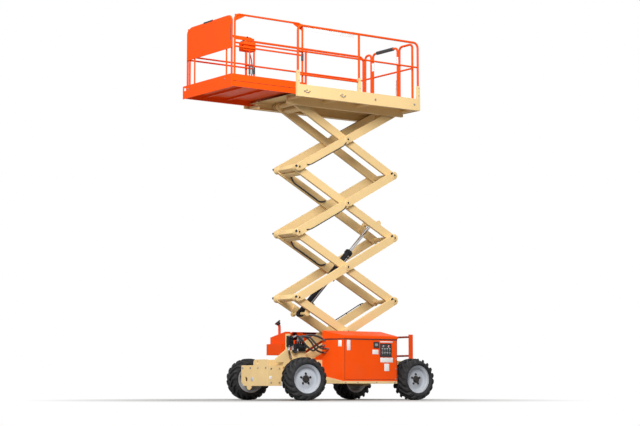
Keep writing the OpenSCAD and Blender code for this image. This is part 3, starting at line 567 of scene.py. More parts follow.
class LIFT_OT_stage(bpy.types.Operator):
    """Makes the floor, the lamps, the pale surroundings and the camera"""

    bl_idname = "lift.stage"
    bl_label = "Stage"

    floor_half = 90.0
    sensor = 36.0
    sight = 400.0

    def execute(self, context):
        self.pale_world(context.scene)
        self.floor(context.scene)
        self.lamps(context.scene)
        self.camera(context.scene)
        context.scene.view_settings.view_transform = "Standard"
        return {"FINISHED"}

    def seen_directly(self, tree):
        """One for rays that show the surroundings: from the camera, a reflection or glass."""
        rays = tree.nodes.new("ShaderNodeLightPath").outputs
        seen = calculated(tree, "MAXIMUM", rays["Is Camera Ray"], rays["Is Glossy Ray"])
        return calculated(tree, "MAXIMUM", seen, rays["Is Transmission Ray"])

    def blended(self, tree, share, first, second):
        blend = tree.nodes.new("ShaderNodeMixShader")
        for socket, value in zip(blend.inputs, (share, first.outputs[0], second.outputs[0])):
            feed(tree, socket, value)
        return blend

    def pale_world(self, scene):
        scene.world = bpy.data.worlds.new("pale_world")
        scene.world.use_nodes = True
        tree = scene.world.node_tree
        soft = tree.nodes["Background"]
        soft.inputs["Color"].default_value = (1.0, 0.99, 0.97, 1)
        soft.inputs["Strength"].default_value = stage().world_light
        white = tree.nodes.new("ShaderNodeBackground")
        white.inputs["Color"].default_value = (1, 1, 1, 1)
        whole = self.blended(tree, self.seen_directly(tree), soft, white)
        feed(tree, tree.nodes["World Output"].inputs["Surface"], whole.outputs[0])

    def floor(self, scene):
        mesh = bmesh.new()
        bmesh.ops.create_grid(mesh, x_segments=1, y_segments=1, size=self.floor_half)
        data = bpy.data.meshes.new("floor")
        mesh.to_mesh(data)
        mesh.free()
        data.materials.append(self.pale_floor())
        floor = bpy.data.objects.new("floor", data)
        scene.collection.objects.link(floor)

    def pale_floor(self):
        """A floor that keeps the shadow near the lift, is white further out and sends up little light."""
        finish = bpy.data.materials.new("pale_floor")
        finish.use_nodes = True
        tree = finish.node_tree
        tree.nodes.remove(tree.nodes["Principled BSDF"])
        near, bounced = (tree.nodes.new("ShaderNodeBsdfDiffuse") for _ in range(2))
        near.inputs["Color"].default_value = (stage().floor_seen,) * 3 + (1,)
        bounced.inputs["Color"].default_value = (stage().floor_bounce,) * 3 + (1,)
        white = tree.nodes.new("ShaderNodeEmission")
        away = tree.nodes.new("ShaderNodeVectorMath")
        away.operation = "LENGTH"
        feed(tree, away.inputs[0], tree.nodes.new("ShaderNodeTexCoord").outputs["Object"])
        far = ramp(tree, away.outputs["Value"], stage().floor_near, stage().floor_far)
        shown = self.blended(tree, far, near, white)
        whole = self.blended(tree, self.seen_directly(tree), bounced, shown)
        feed(tree, tree.nodes["Material Output"].inputs["Surface"], whole.outputs[0])
        return finish

    def lamps(self, scene):
        low, high = CAD_BOX
        aim = (low + high) / 2
        for name, place, size, power in (
                ("key", (9.0, 11.0, 9.5), 6.0, stage().key_light),
                ("fill", (13.0, 0.5, 6.5), 6.0, stage().fill_light),
                ("top", (-1.0, 2.0, 13.0), 8.0, stage().top_light)):
            lamp = bpy.data.lights.new(name, "AREA")
            lamp.size = size
            lamp.energy = power
            holder = bpy.data.objects.new(name, lamp)
            holder.location = place
            holder.rotation_euler = (aim - Vector(place)).to_track_quat("-Z", "Y").to_euler()
            scene.collection.objects.link(holder)

    def camera(self, scene):
        settings = stage()
        data = bpy.data.cameras.new("camera")
        data.lens = settings.lens
        data.sensor_width = self.sensor
        data.clip_end = self.sight
        holder = bpy.data.objects.new("camera", data)
        holder.location = settings.camera_place
        level = math.cos(settings.tilt)
        look = Vector((math.cos(settings.heading) * level, math.sin(settings.heading) * level,
                       math.sin(settings.tilt)))
        holder.rotation_euler = look.to_track_quat("-Z", "Y").to_euler()
        scene.collection.objects.link(holder)
        scene.camera = holder


class LIFT_OT_finishes(bpy.types.Operator):
    """Makes the materials and gives each solid its own"""

    bl_idname = "lift.finishes"
    bl_label = "Finishes"

    weld_below = 0.00002

    def execute(self, context):
        for plain in {slot.material for solid in frame["nodes"].values() for slot in solid.material_slots}:
            bpy.data.materials.remove(plain)
        for maker in FINISH_MAKERS:
            maker()
        for name, solid in frame["nodes"].items():
            for slot in solid.material_slots:
                slot.material = bpy.data.materials[SLOTS[name]]
            self.round_edges(solid)
        return {"FINISHED"}

    def round_edges(self, solid):
        """Joins the triangles of each flat face, then rounds the edges between the faces."""
        solid.modifiers.new("weld", "WELD").merge_threshold = self.weld_below
        flat = solid.modifiers.new("flat", "DECIMATE")
        flat.decimate_type = "DISSOLVE"
        flat.angle_limit = FLAT_BELOW
        bevel = solid.modifiers.new("edges", "BEVEL")
        bevel.width = sizes().edge
        bevel.segments = 2
        bevel.limit_method = "ANGLE"
        bevel.angle_limit = SMOOTH_BELOW
        bevel.use_clamp_overlap = True
        solid.modifiers.new("flat_faces", "WEIGHTED_NORMAL").keep_sharp = True


class LIFT_OT_wheels(bpy.types.Operator):
    """Makes lugged tyres and dished rims with hubs and nuts"""

    bl_idname = "lift.wheels"
    bl_label = "Wheels"

    # Fall of the carcass over its crown, and past the start of its shoulder
    crown_fall, shoulder_fall, shoulder_start = 0.012, 0.030, 0.72
    crown_shares = (0.0, 0.3, 0.5, 0.68, 0.8, 0.9, 0.96)
    # Side wall, in shares of the tyre's radius and of half its width
    wall_shares = ((0.80, 0.995), (0.775, 1.0), (0.745, 0.99), (0.735, 0.965), (0.725, 0.975), (0.695, 0.90),
                   (0.672, 0.83), (0.640, 0.72))
    tyre_steps = 96
    # A lug: its turn from end to end, how deep it is set in, its half width, the growth of that along
    # it, and the share of it left at the top
    lug_steps, lug_sweep, lug_sunk = 7, math.radians(27), 0.006
    lug_half, lug_spread, lug_top_share = 0.021, 0.004, 0.72
    # Where a lug starts past the middle and how far it reaches, in shares of half the width
    lug_start, lug_reach, lug_bend = -0.07, 1.055, 1.15
    # Fall of a lug's top, and where along it the fall starts
    lug_falls = ((0.010, 0.45), (0.034, 0.84))
    # Profiles of radius and distance outward from the middle of the wheel
    rim_face = ((0.050, 0.066), (0.070, 0.066), (0.105, 0.062), (0.135, 0.050), (0.160, 0.044),
                (0.176, 0.047), (0.186, 0.062), (0.190, 0.086), (0.193, 0.100), (0.203, 0.106),
                (0.207, 0.114), (0.217, 0.118), (0.224, 0.124), (0.2255, 0.129), (0.223, 0.131),
                (0.216, 0.126), (0.2255, 0.115))
    rim_back = ((0.205, 0.105), (0.197, 0.094), (0.193, 0.060), (0.190, -0.060), (0.205, -0.105),
                (0.2255, -0.115), (0.2255, -0.125), (0.200, -0.118), (0.186, -0.100), (0.184, -0.040),
                (0.176, 0.034), (0.050, 0.040))
    hub_profile = ((0, 0.040), (0.058, 0.040), (0.058, 0.070), (0.052, 0.074), (0.050, 0.096), (0.044, 0.102),
                   (0.020, 0.104), (0.018, 0.099), (0, 0.099))
    # A stud and its nut, from the nut's seat
    stud_profile = ((0, 0.012), (0.007, 0.012), (0.007, 0.024), (0.005, 0.026), (0, 0.026))
    nut_width, nut_seat, rim_steps = 0.026, 0.0655, 72

    def execute(self, context):
        low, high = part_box("tyre_rear_left")
        self.radius = (high.z - low.z) / 2
        self.half = (high.y - low.y) / 2
        for wheel in WHEELS:
            joint = JOINTS[f"wheel_{wheel}_spin"]
            self.outward = Vector(joint["axis"]) * SIDES[wheel.split("_")[1]]
            self.place = facing(joint["pos_m"], self.outward)
            self.tyre(wheel)
            self.rim(wheel)
            self.hub(wheel)
        return {"FINISHED"}

    def past(self, share, start):
        """How far a share lies past start, from 0 at start to 1 at the end."""
        return max(share - start, 0.0) / (1.0 - start)

    def carcass(self, across):
        """Radius of the carcass at a distance across from the middle of the tyre."""
        share = min(abs(across) / self.half, 1.0)
        fall = self.crown_fall * share ** 2 + self.shoulder_fall * self.past(share, self.shoulder_start)
        return self.radius - sizes().lug_depth - fall

    def tyre(self, wheel):
        mesh = bmesh.new()
        crown = [(self.carcass(self.half * share), self.half * share) for share in self.crown_shares]
        side = crown + [(self.radius * high, self.half * wide) for high, wide in self.wall_shares]
        other = [(radius, -across) for radius, across in reversed(side[1:])]
        grow_lathe(mesh, other + side, self.place, self.tyre_steps, closed=True)
        count = sizes().lug_count
        for lug in range(count):
            for hand, shift in ((-1, 0.0), (1, 0.5)):
                self.lug(mesh, 2 * math.pi * (lug + shift) / count, hand)
        piece = make_piece(f"tyre_{wheel}_lugged", mesh, "tyre_rubber", f"wheel_{wheel}")
        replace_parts(piece, f"tyre_{wheel}")

    def lug(self, mesh, start, hand):
        """One bar of the tread, from past the middle, over the shoulder and down the wall."""
        rings = []
        for step in range(self.lug_steps + 1):
            t = step / self.lug_steps
            across = self.half * (self.lug_start + self.lug_reach * t)
            turn = start + self.lug_sweep * t ** self.lug_bend
            foot = self.carcass(across) - self.lug_sunk
            top = self.radius - sum(fall * self.past(t, begin) for fall, begin in self.lug_falls)
            wide = self.lug_half + self.lug_spread * t
            narrow = wide * self.lug_top_share
            ring = []
            for height, width in ((foot, wide), (top, narrow), (top, -narrow), (foot, -wide)):
                angle = turn + width / height
                spot = Vector((height * math.cos(angle), height * math.sin(angle), hand * across))
                ring.append(mesh.verts.new(self.place @ spot))
            rings.append(ring)
        skin_rings(mesh, rings)

    def rim(self, wheel):
        mesh = bmesh.new()
        grow_lathe(mesh, self.rim_face + self.rim_back, self.place, self.rim_steps, closed=True)
        piece = make_piece(f"rim_{wheel}_dished", mesh, "silver_rim", f"wheel_{wheel}")
        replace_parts(piece, f"rim_{wheel}")

    def hub(self, wheel):
        mesh = bmesh.new()
        grow_lathe(mesh, self.hub_profile, self.place)
        circle, count = sizes().nut_circle, sizes().nut_count
        for nut in range(count):
            turn = 2 * math.pi * (nut + 0.25) / count
            spot = self.place @ Vector((circle * math.cos(turn), circle * math.sin(turn), self.nut_seat))
            grow_bolt(mesh, spot, self.outward, self.nut_width)
            grow_lathe(mesh, self.stud_profile, facing(spot, self.outward), 14)
        make_piece(f"hub_{wheel}", mesh, "black_metal", f"wheel_{wheel}")


class LIFT_OT_boxes(bpy.types.Operator):
    """Adds lips, black strips of painted shade under the lids, seams, bolts and blank plates to the equipment
    boxes
    """

    bl_idname = "lift.boxes"
    bl_label = "Equipment boxes"

    # How far the inner edge of a box's front stands ahead of its outer edge
    slant = 0.10
    # Blank plates on the left box: rear, front, lower and upper edge
    side_plates = ((-0.217, -0.147, 0.794, 0.960), (-0.779, -0.659, 0.737, 0.810),
                   (-1.074, -0.815, 0.928, 0.948), (-1.074, -0.820, 0.608, 0.684),
                   (-0.998, -0.900, 0.468, 0.587))
    # The blank plate on the slanted front: its place along it, its height and half its size
    front_plate_along, front_plate_z, front_plate_half = 0.075, 0.905, (0.036, 0.05)
    plate_proud, plate_edge = 0.0025, 0.002
    # The lip of a lid, and the black strip under it that is painted shade below the lip's overhang: thickness, and
    # lower and upper edge from the lid's foot
    lip, seal = (0.014, 0.004, 0.046), (0.004, -0.014, -0.001)
    # Gaps of these strips: past the box's rear, short of its front and short of its inner edge
    rear_past, front_short, inner_short = 0.006, 0.004, 0.02
    # Fall of a strip's top towards its outer edge, as a share of its thickness
    strip_fall = 0.4
    # Bolts up the rear edge and along the sill: places, heights and widths
    edge_in, edge_levels, edge_bolt = 0.03, (0.34, 0.50, 0.66), 0.018
    sill_places, sill_end, sill_level, sill_bolt = (0.05, 0.42, 0.80), 0.04, 0.288, 0.016
    # The door: gaps to the box's rear, front, foot and top, the seams' width and their relief
    door_rear, door_front, door_foot, door_top = 0.010, 0.022, 0.024, 0.016
    front_seam_t, seam_t, seam_proud, seam_edge = 0.006, 0.005, 0.0008, 0.0003
    wedge_h, wedge_t, wedge_sunk = 0.090, 0.004, 0.0008
    # The filler's neck: place, lean and bend, then the cap's bar and its profile
    neck_x, neck_h, neck_bend, neck_lean = -0.005, 0.150, 0.090, math.radians(35)
    cap_bar = ((-0.0565, -0.0135, 0.0270), (0.0565, 0.0135, 0.0505))
    cap_r, cap_edge, cap_ribs = 0.0355, 0.006, 12
    cap_rib_foot, cap_rib_h, cap_rib_r = 0.002, 0.023, 0.0025
    cap_profile = ((0.022, -0.003), (0.0335, -0.003), (cap_r, 0.001), (cap_r, 0.026), (0.0325, 0.031),
                   (0, 0.031))

    def execute(self, context):
        for side, hand in SIDES.items():
            self.fittings(side, hand)
            self.door_seams(side, hand)
        self.plates()
        self.filler_cap()
        return {"FINISHED"}

    def outline(self, side):
        """Rear, slant's start, front, outer and inner edge of a box, and the foot of its lid."""
        low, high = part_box(f"box_{side}")
        across = sorted((abs(low.y), abs(high.y)))
        return low.x, high.x - self.slant, high.x, across[1], across[0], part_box(f"lid_{side}")[0].z

    def fittings(self, side, hand):
        rear, corner, front, outer, inner, top = self.outline(side)
        lip, seal, bolts = new_meshes(3)
        edge = [(rear - self.rear_past, outer), (corner, outer)]
        inner += self.inner_short
        if side == "left":
            edge.append((front - self.front_short, inner))
        self.strip(lip, hand, edge, top, self.lip)
        self.strip(seal, hand, [(rear, outer), (corner, outer), (front, inner)], top, self.seal)
        out = LEFT * hand
        edge_spots = [(rear + self.edge_in, hand * outer, level) for level in self.edge_levels]
        sill_xs = [rear + along for along in self.sill_places] + [corner - self.sill_end]
        grow_bolts(bolts, edge_spots, out, self.edge_bolt)
        grow_bolts(bolts, [(x, hand * outer, self.sill_level) for x in sill_xs], out, self.sill_bolt)
        make_piece(f"lid_lip_{side}", lip, "orange_paint", f"lid_{side}")
        # A black strip under the lid's lip: painted shade below its overhang
        make_piece(f"lid_seal_{side}", seal, "hose_rubber", "chassis")
        make_piece(f"box_bolts_{side}", bolts, "bolt_steel", "chassis")

    def strip(self, mesh, hand, outline, level, section):
        """A folded strip that stands out from an outline in plan."""
        thick, low, high = section
        spots = [Vector((x, hand * y, level)) for x, y in outline]
        rings = []
        for before, spot, after in zip([spots[0], *spots], spots, [*spots[1:], spots[-1]]):
            out = UP.cross((after - before).normalized()) * hand
            edge = spot + out * thick
            fallen = high - thick * self.strip_fall
            corners = (spot + UP * low, edge + UP * low, edge + UP * fallen, spot + UP * high)
            rings.append([mesh.verts.new(corner) for corner in corners])
        skin_rings(mesh, rings)

    def plates(self):
        low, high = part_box("box_left")
        side, front = new_meshes(2)
        proud = self.plate_proud
        for rear, fore, foot, top in self.side_plates:
            grow_block(side, (rear, high.y - SUNK, foot), (fore, high.y + proud, top), self.plate_edge)
        start = Vector((high.x - self.slant, high.y, self.front_plate_z))
        along = (Vector((high.x, low.y, self.front_plate_z)) - start).normalized()
        turn = set_along(start + along * self.front_plate_along, along, UP.cross(along), UP)
        wide, tall = self.front_plate_half
        grow_block(front, (-wide, -SUNK, -tall), (wide, proud, tall), self.plate_edge, turn)
        make_piece("box_plates", side, "blank_plate", "chassis")
        make_piece("box_front_plate", front, "blank_plate", "chassis")

    def door_seams(self, side, hand):
        """Dark lines round the door in the side of a box, and the cream wedge below its slanted front."""
        rear, corner, front, outer, inner, top = self.outline(side)
        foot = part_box(f"box_{side}")[0].z
        seams, wedge = new_meshes(2)
        back, fore = rear + self.door_rear, corner - self.door_front
        low, high = foot + self.door_foot, top - self.door_top
        for x_first, x_last, z_last in ((fore - self.front_seam_t, fore, high),
                                        (back, back + self.seam_t, high), (back, fore, low + self.seam_t)):
            grow_block(seams, (x_first, hand * (outer - SUNK), low),
                       (x_last, hand * (outer + self.seam_proud), z_last), self.seam_edge)
        start, stop = Vector((corner, hand * outer, foot)), Vector((front, hand * inner, foot))
        out = UP.cross((stop - start).normalized()) * hand
        outline = (start, stop, stop + UP * self.wedge_h)
        skin_rings(wedge, [[wedge.verts.new(spot + out * shift) for spot in outline]
                           for shift in (-self.wedge_sunk, self.wedge_t)])
        make_piece(f"door_seams_{side}", seams, "black_metal", "chassis")
        make_piece(f"box_wedge_{side}", wedge, "cream_paint", "chassis")

    def filler_cap(self):
        """A black screw cap with a bar across it, on the bent neck of the tank."""
        low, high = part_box("filler")
        lean, bend = self.neck_lean, self.neck_bend
        foot = Vector((self.neck_x, (low.y + high.y) / 2, low.z))
        spot = foot + Vector((bend * (1 - math.cos(lean)), 0, self.neck_h + bend * math.sin(lean)))
        up = Vector((math.sin(lean), 0, math.cos(lean)))
        turn = set_along(spot, LEFT.cross(up), LEFT, up)
        mesh = bmesh.new()
        grow_block(mesh, *self.cap_bar, self.cap_edge, turn)
        grow_lathe(mesh, self.cap_profile, turn, 32)
        for rib in range(self.cap_ribs):
            angle = 2 * math.pi * rib / self.cap_ribs
            across = Vector((math.cos(angle), math.sin(angle), 0)) * self.cap_r
            foot = turn @ (across + UP * self.cap_rib_foot)
            grow_tube(mesh, [foot, foot + up * self.cap_rib_h], self.cap_rib_r, 6)
        make_piece("filler_cap", mesh, "black_plastic", "chassis")


class LIFT_OT_ground_controls(bpy.types.Operator):
    """Makes the two ground control panels with their switches"""

    bl_idname = "lift.ground_controls"
    bl_label = "Ground controls"

    # The main panel: its width, and its lower and upper edge from the node's foot
    main_w, main_low, main_high = 0.23, -0.062, 0.15
    small_w, small_h, face_sunk = 0.105, 0.095, 0.003
    panel_edge, bezel_w, bezel_h, bezel_edge = 0.006, 0.010, 0.005, 0.002
    # Switches: places along and up, from the corner of the main panel
    switch_columns, switch_rows = (0.035, 0.085, 0.135, 0.185), (0.05, 0.11)
    switch_profile = ((0, 0), (0.011, 0), (0.011, 0.004), (0.006, 0.007), (0, 0.007))
    # A toggle: its start and its end out from the panel, how far it points up, and its radius
    toggle_start, toggle_end, toggle_up, toggle_r = 0.006, 0.024, 0.008, 0.0035
    mark, mark_edge = ((-0.016, -0.001, 0.021), (0.016, 0.0012, 0.027)), 0.0006
    stop_profile = ((0, 0), (0.008, 0), (0.008, 0.010), (0.015, 0.012), (0.015, 0.019), (0.010, 0.023),
                    (0, 0.024))
    collar_profile = ((0, 0), (0.018, 0), (0.018, 0.0015), (0, 0.0015))
    key_profile = ((0, 0), (0.019, 0), (0.019, 0.010), (0.013, 0.013), (0, 0.013))
    key_blade, key_edge = ((-0.003, 0.010, -0.016), (0.003, 0.030, 0.016)), 0.002
    # The window of the hour meter: half its width and height, how far it stands out, and its edge
    meter_half, meter_h, meter_edge = (0.03, 0.02), 0.005, 0.003
    # The stop button and the key: distances from the main panel's rear, front and top
    stop_x, key_x, top_row = 0.055, 0.06, 0.045

    def execute(self, context):
        low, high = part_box("control_panel")
        face = high.y - self.face_sunk
        panel, knobs, stop, marks = new_meshes(4)
        main = (Vector((low.x, low.y, low.z + self.main_low)),
                Vector((low.x + self.main_w, face, low.z + self.main_high)))
        small = (Vector((high.x - self.small_w, low.y, high.z - self.small_h)),
                 Vector((high.x, face, high.z)))
        for corners in (main, small):
            grow_block(panel, *corners, self.panel_edge)
            self.bezel(panel, *corners)
        for along in self.switch_columns:
            for rise in self.switch_rows:
                spot = Vector((main[0].x + along, face, main[0].z + rise))
                self.switch(knobs, spot)
                grow_block(marks, *(spot + Vector(corner) for corner in self.mark), self.mark_edge)
        spot = Vector((main[0].x + self.stop_x, face, main[1].z - self.top_row))
        grow_lathe(stop, self.stop_profile, facing(spot, LEFT), 24)
        grow_lathe(marks, self.collar_profile, facing(spot, LEFT), 28)
        spot = Vector((main[1].x - self.key_x, face, main[1].z - self.top_row))
        grow_lathe(knobs, self.key_profile, facing(spot, LEFT), 24)
        grow_block(knobs, *(spot + Vector(corner) for corner in self.key_blade), self.key_edge)
        middle = (small[0] + small[1]) / 2
        wide, tall = self.meter_half
        grow_block(knobs, (middle.x - wide, face, middle.z - tall),
                   (middle.x + wide, face + self.meter_h, middle.z + tall), self.meter_edge)
        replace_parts(make_piece("ground_panel", panel, "black_plastic", "chassis"), "control_panel")
        make_piece("ground_switches", knobs, "bolt_steel", "chassis")
        make_piece("ground_stop", stop, "stop_red", "chassis")
        make_piece("ground_marks", marks, "blank_plate", "chassis")
        return {"FINISHED"}

    def bezel(self, mesh, low, high):
        """A raised rim round a panel."""
        rim = self.bezel_w
        for x_first, z_first, x_last, z_last in (
                (low.x, low.z, high.x, low.z + rim), (low.x, high.z - rim, high.x, high.z),
                (low.x, low.z, low.x + rim, high.z), (high.x - rim, low.z, high.x, high.z)):
            grow_block(mesh, (x_first, high.y - SUNK, z_first),
                       (x_last, high.y + self.bezel_h, z_last), self.bezel_edge)

    def switch(self, mesh, spot):
        grow_lathe(mesh, self.switch_profile, facing(spot, LEFT), 12)
        end = spot + LEFT * self.toggle_end + UP * self.toggle_up
        grow_tube(mesh, [spot + LEFT * self.toggle_start, end], self.toggle_r, 8)


class LIFT_OT_front_bay(bpy.types.Operator):
    """Fits the valve block, the filters and the hoses in the bay behind the left post"""

    bl_idname = "lift.front_bay"
    bl_label = "Front bay"

    # Routes of the hoses, each held at both ends
    routes = (
        ((0.655, 0.470, 0.870), (0.640, 0.480, 0.800), (0.590, 0.472, 0.755), (0.530, 0.455, 0.785),
         (0.520, 0.440, 0.840)),
        ((0.500, 0.420, 0.935), (0.480, 0.430, 1.000), (0.400, 0.470, 1.015), (0.300, 0.500, 0.930),
         (0.225, 0.515, 0.820), (0.120, 0.500, 0.770), (-0.020, 0.490, 0.760)),
        ((0.640, 0.470, 0.990), (0.560, 0.480, 1.020), (0.460, 0.490, 0.950), (0.380, 0.500, 0.860),
         (0.260, 0.505, 0.790), (0.130, 0.480, 0.850), (-0.010, 0.470, 0.880)),
        ((0.412, 0.420, 0.940), (0.400, 0.430, 1.000), (0.320, 0.450, 1.035), (0.200, 0.470, 1.030),
         (0.100, 0.480, 1.000), (-0.005, 0.480, 0.950)),
        ((0.456, 0.420, 0.940), (0.440, 0.450, 1.010), (0.340, 0.520, 1.000), (0.250, 0.560, 0.900),
         (0.150, 0.560, 0.830), (-0.035, 0.550, 0.820)),
        ((0.690, 0.460, 0.860), (0.700, 0.470, 0.780), (0.670, 0.460, 0.700), (0.640, 0.440, 0.660)),
    )
    # The valve block on the post, its valves and its bolts
    block_low, block_high = Vector((0.622, 0.419, 0.845)), Vector((0.722, 0.485, 1.020))
    valve_levels = (0.875, 0.930, 0.985)
    valve_profile = ((0, 0), (0.019, 0), (0.019, 0.026), (0.015, 0.030), (0.015, 0.046), (0, 0.046))
    block_edge, bolt_inset, block_bolt = 0.006, 0.013, 0.014
    # The filters on the manifold, from its rear
    filter_places, filter_drop, filter_sunk = (0.055, 0.135), 0.02, 0.002
    filter_profile = ((0, 0), (0.032, 0), (0.032, 0.035), (0.026, 0.045), (0.026, 0.075), (0.012, 0.085),
                      (0, 0.085))
    # Ferrule of a hose end and its collar: start, stop, share of the hose's radius and sides
    end_parts = ((0.0, 0.045, 1.25, 6), (0.04, 0.075, 1.12, 16))

    def execute(self, context):
        self.blocks()
        self.hoses()
        return {"FINISHED"}

    def blocks(self):
        low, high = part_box("manifold")
        mesh, bolts = new_meshes(2)
        grow_block(mesh, self.block_low, self.block_high, self.block_edge)
        middle = (self.block_low.x + self.block_high.x) / 2
        for level in self.valve_levels:
            spot = (middle, self.block_high.y - SUNK, level)
            grow_lathe(mesh, self.valve_profile, facing(spot, LEFT), 18)
        for along in self.filter_places:
            spot = (low.x + along, high.y - self.filter_sunk, (low.z + high.z) / 2 - self.filter_drop)
            grow_lathe(mesh, self.filter_profile, facing(spot, LEFT), 24)
        inset = self.bolt_inset
        spots = [(x, self.block_high.y, z)
                 for x in (self.block_low.x + inset, self.block_high.x - inset)
                 for z in (self.block_low.z + inset, self.block_high.z - inset)]
        grow_bolts(bolts, spots, LEFT, self.block_bolt)
        make_piece("valve_block", mesh, "black_metal", "chassis")
        make_piece("valve_bolts", bolts, "bolt_steel", "chassis")

    def hoses(self):
        radius = sizes().hose / 2
        hose, ends = new_meshes(2)
        for route in self.routes:
            path = smooth_path(route)
            grow_tube(hose, path, radius)
            for spot, near in ((path[0], path[1]), (path[-1], path[-2])):
                way = (near - spot).normalized()
                for start, stop, share, sides in self.end_parts:
                    grow_tube(ends, [spot + way * start, spot + way * stop], radius * share, sides)
        make_piece("bay_hoses", hose, "hose_rubber", "chassis")
        make_piece("hose_ends", ends, "bolt_steel", "chassis")


class LIFT_OT_nose(bpy.types.Operator):
    """Adds a plug, a blank plate and bolts to the nose, and grips to the ladder"""

    bl_idname = "lift.nose"
    bl_label = "Nose and ladder"

    face_bolt_ys, face_bolt_z, face_bolt = (-0.33, -0.11, 0.11, 0.33), 0.515, 0.022
    # Bolts in the cheeks: from the rear, from the front, their heights, and how much higher on the right
    cheek_rear, cheek_front, cheek_levels, right_rise, cheek_bolt = 0.05, 0.07, (0.28, 0.50), 0.05, 0.020
    plug_place = (-0.062, 0.339)
    plug_profile = ((0, 0), (0.034, 0), (0.034, 0.004), (0.028, 0.007), (0, 0.008))
    # The blank plate on the left cheek: distances from the front, and heights
    plate_xs, plate_zs, plate_proud, plate_edge = (0.085, 0.035), (0.335, 0.385), 0.0025, 0.002
    # Ribbed sleeves on the rungs: heights, distance from the rear, and the ribs' places
    rung_levels, rung_in, rib_half, rib_r = (0.420, 0.735, 1.050), 0.035, 0.012, 0.0168
    rib_places = [-0.20 + 0.04 * rib for rib in range(11)]

    def execute(self, context):
        low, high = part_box("nose")
        bolts, plug, plate = new_meshes(3)
        grow_bolts(bolts, [(high.x, y, self.face_bolt_z) for y in self.face_bolt_ys], FRONT, self.face_bolt)
        for x in (low.x + self.cheek_rear, high.x - self.cheek_front):
            left = [(x, high.y, z) for z in self.cheek_levels]
            right = [(x, low.y, z + self.right_rise) for z in self.cheek_levels]
            grow_bolts(bolts, left, LEFT, self.cheek_bolt)
            grow_bolts(bolts, right, -LEFT, self.cheek_bolt)
        grow_lathe(plug, self.plug_profile, facing((high.x, *self.plug_place), FRONT), 28)
        grow_block(plate, (high.x - self.plate_xs[0], high.y - SUNK, self.plate_zs[0]),
                   (high.x - self.plate_xs[1], high.y + self.plate_proud, self.plate_zs[1]), self.plate_edge)
        make_piece("nose_bolts", bolts, "bolt_steel", "chassis")
        make_piece("nose_plug", plug, "silver_rim", "chassis")
        make_piece("nose_plate", plate, "blank_plate", "chassis")
        self.ladder_grips()
        return {"FINISHED"}

    def ladder_grips(self):
        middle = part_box("ladder")[0].x + self.rung_in
        mesh = bmesh.new()
        for z in self.rung_levels:
            for y in self.rib_places:
                ends = [(middle, y - self.rib_half, z), (middle, y + self.rib_half, z)]
                grow_tube(mesh, ends, self.rib_r, 14)
        make_piece("ladder_grips", mesh, "black_plastic", "chassis")


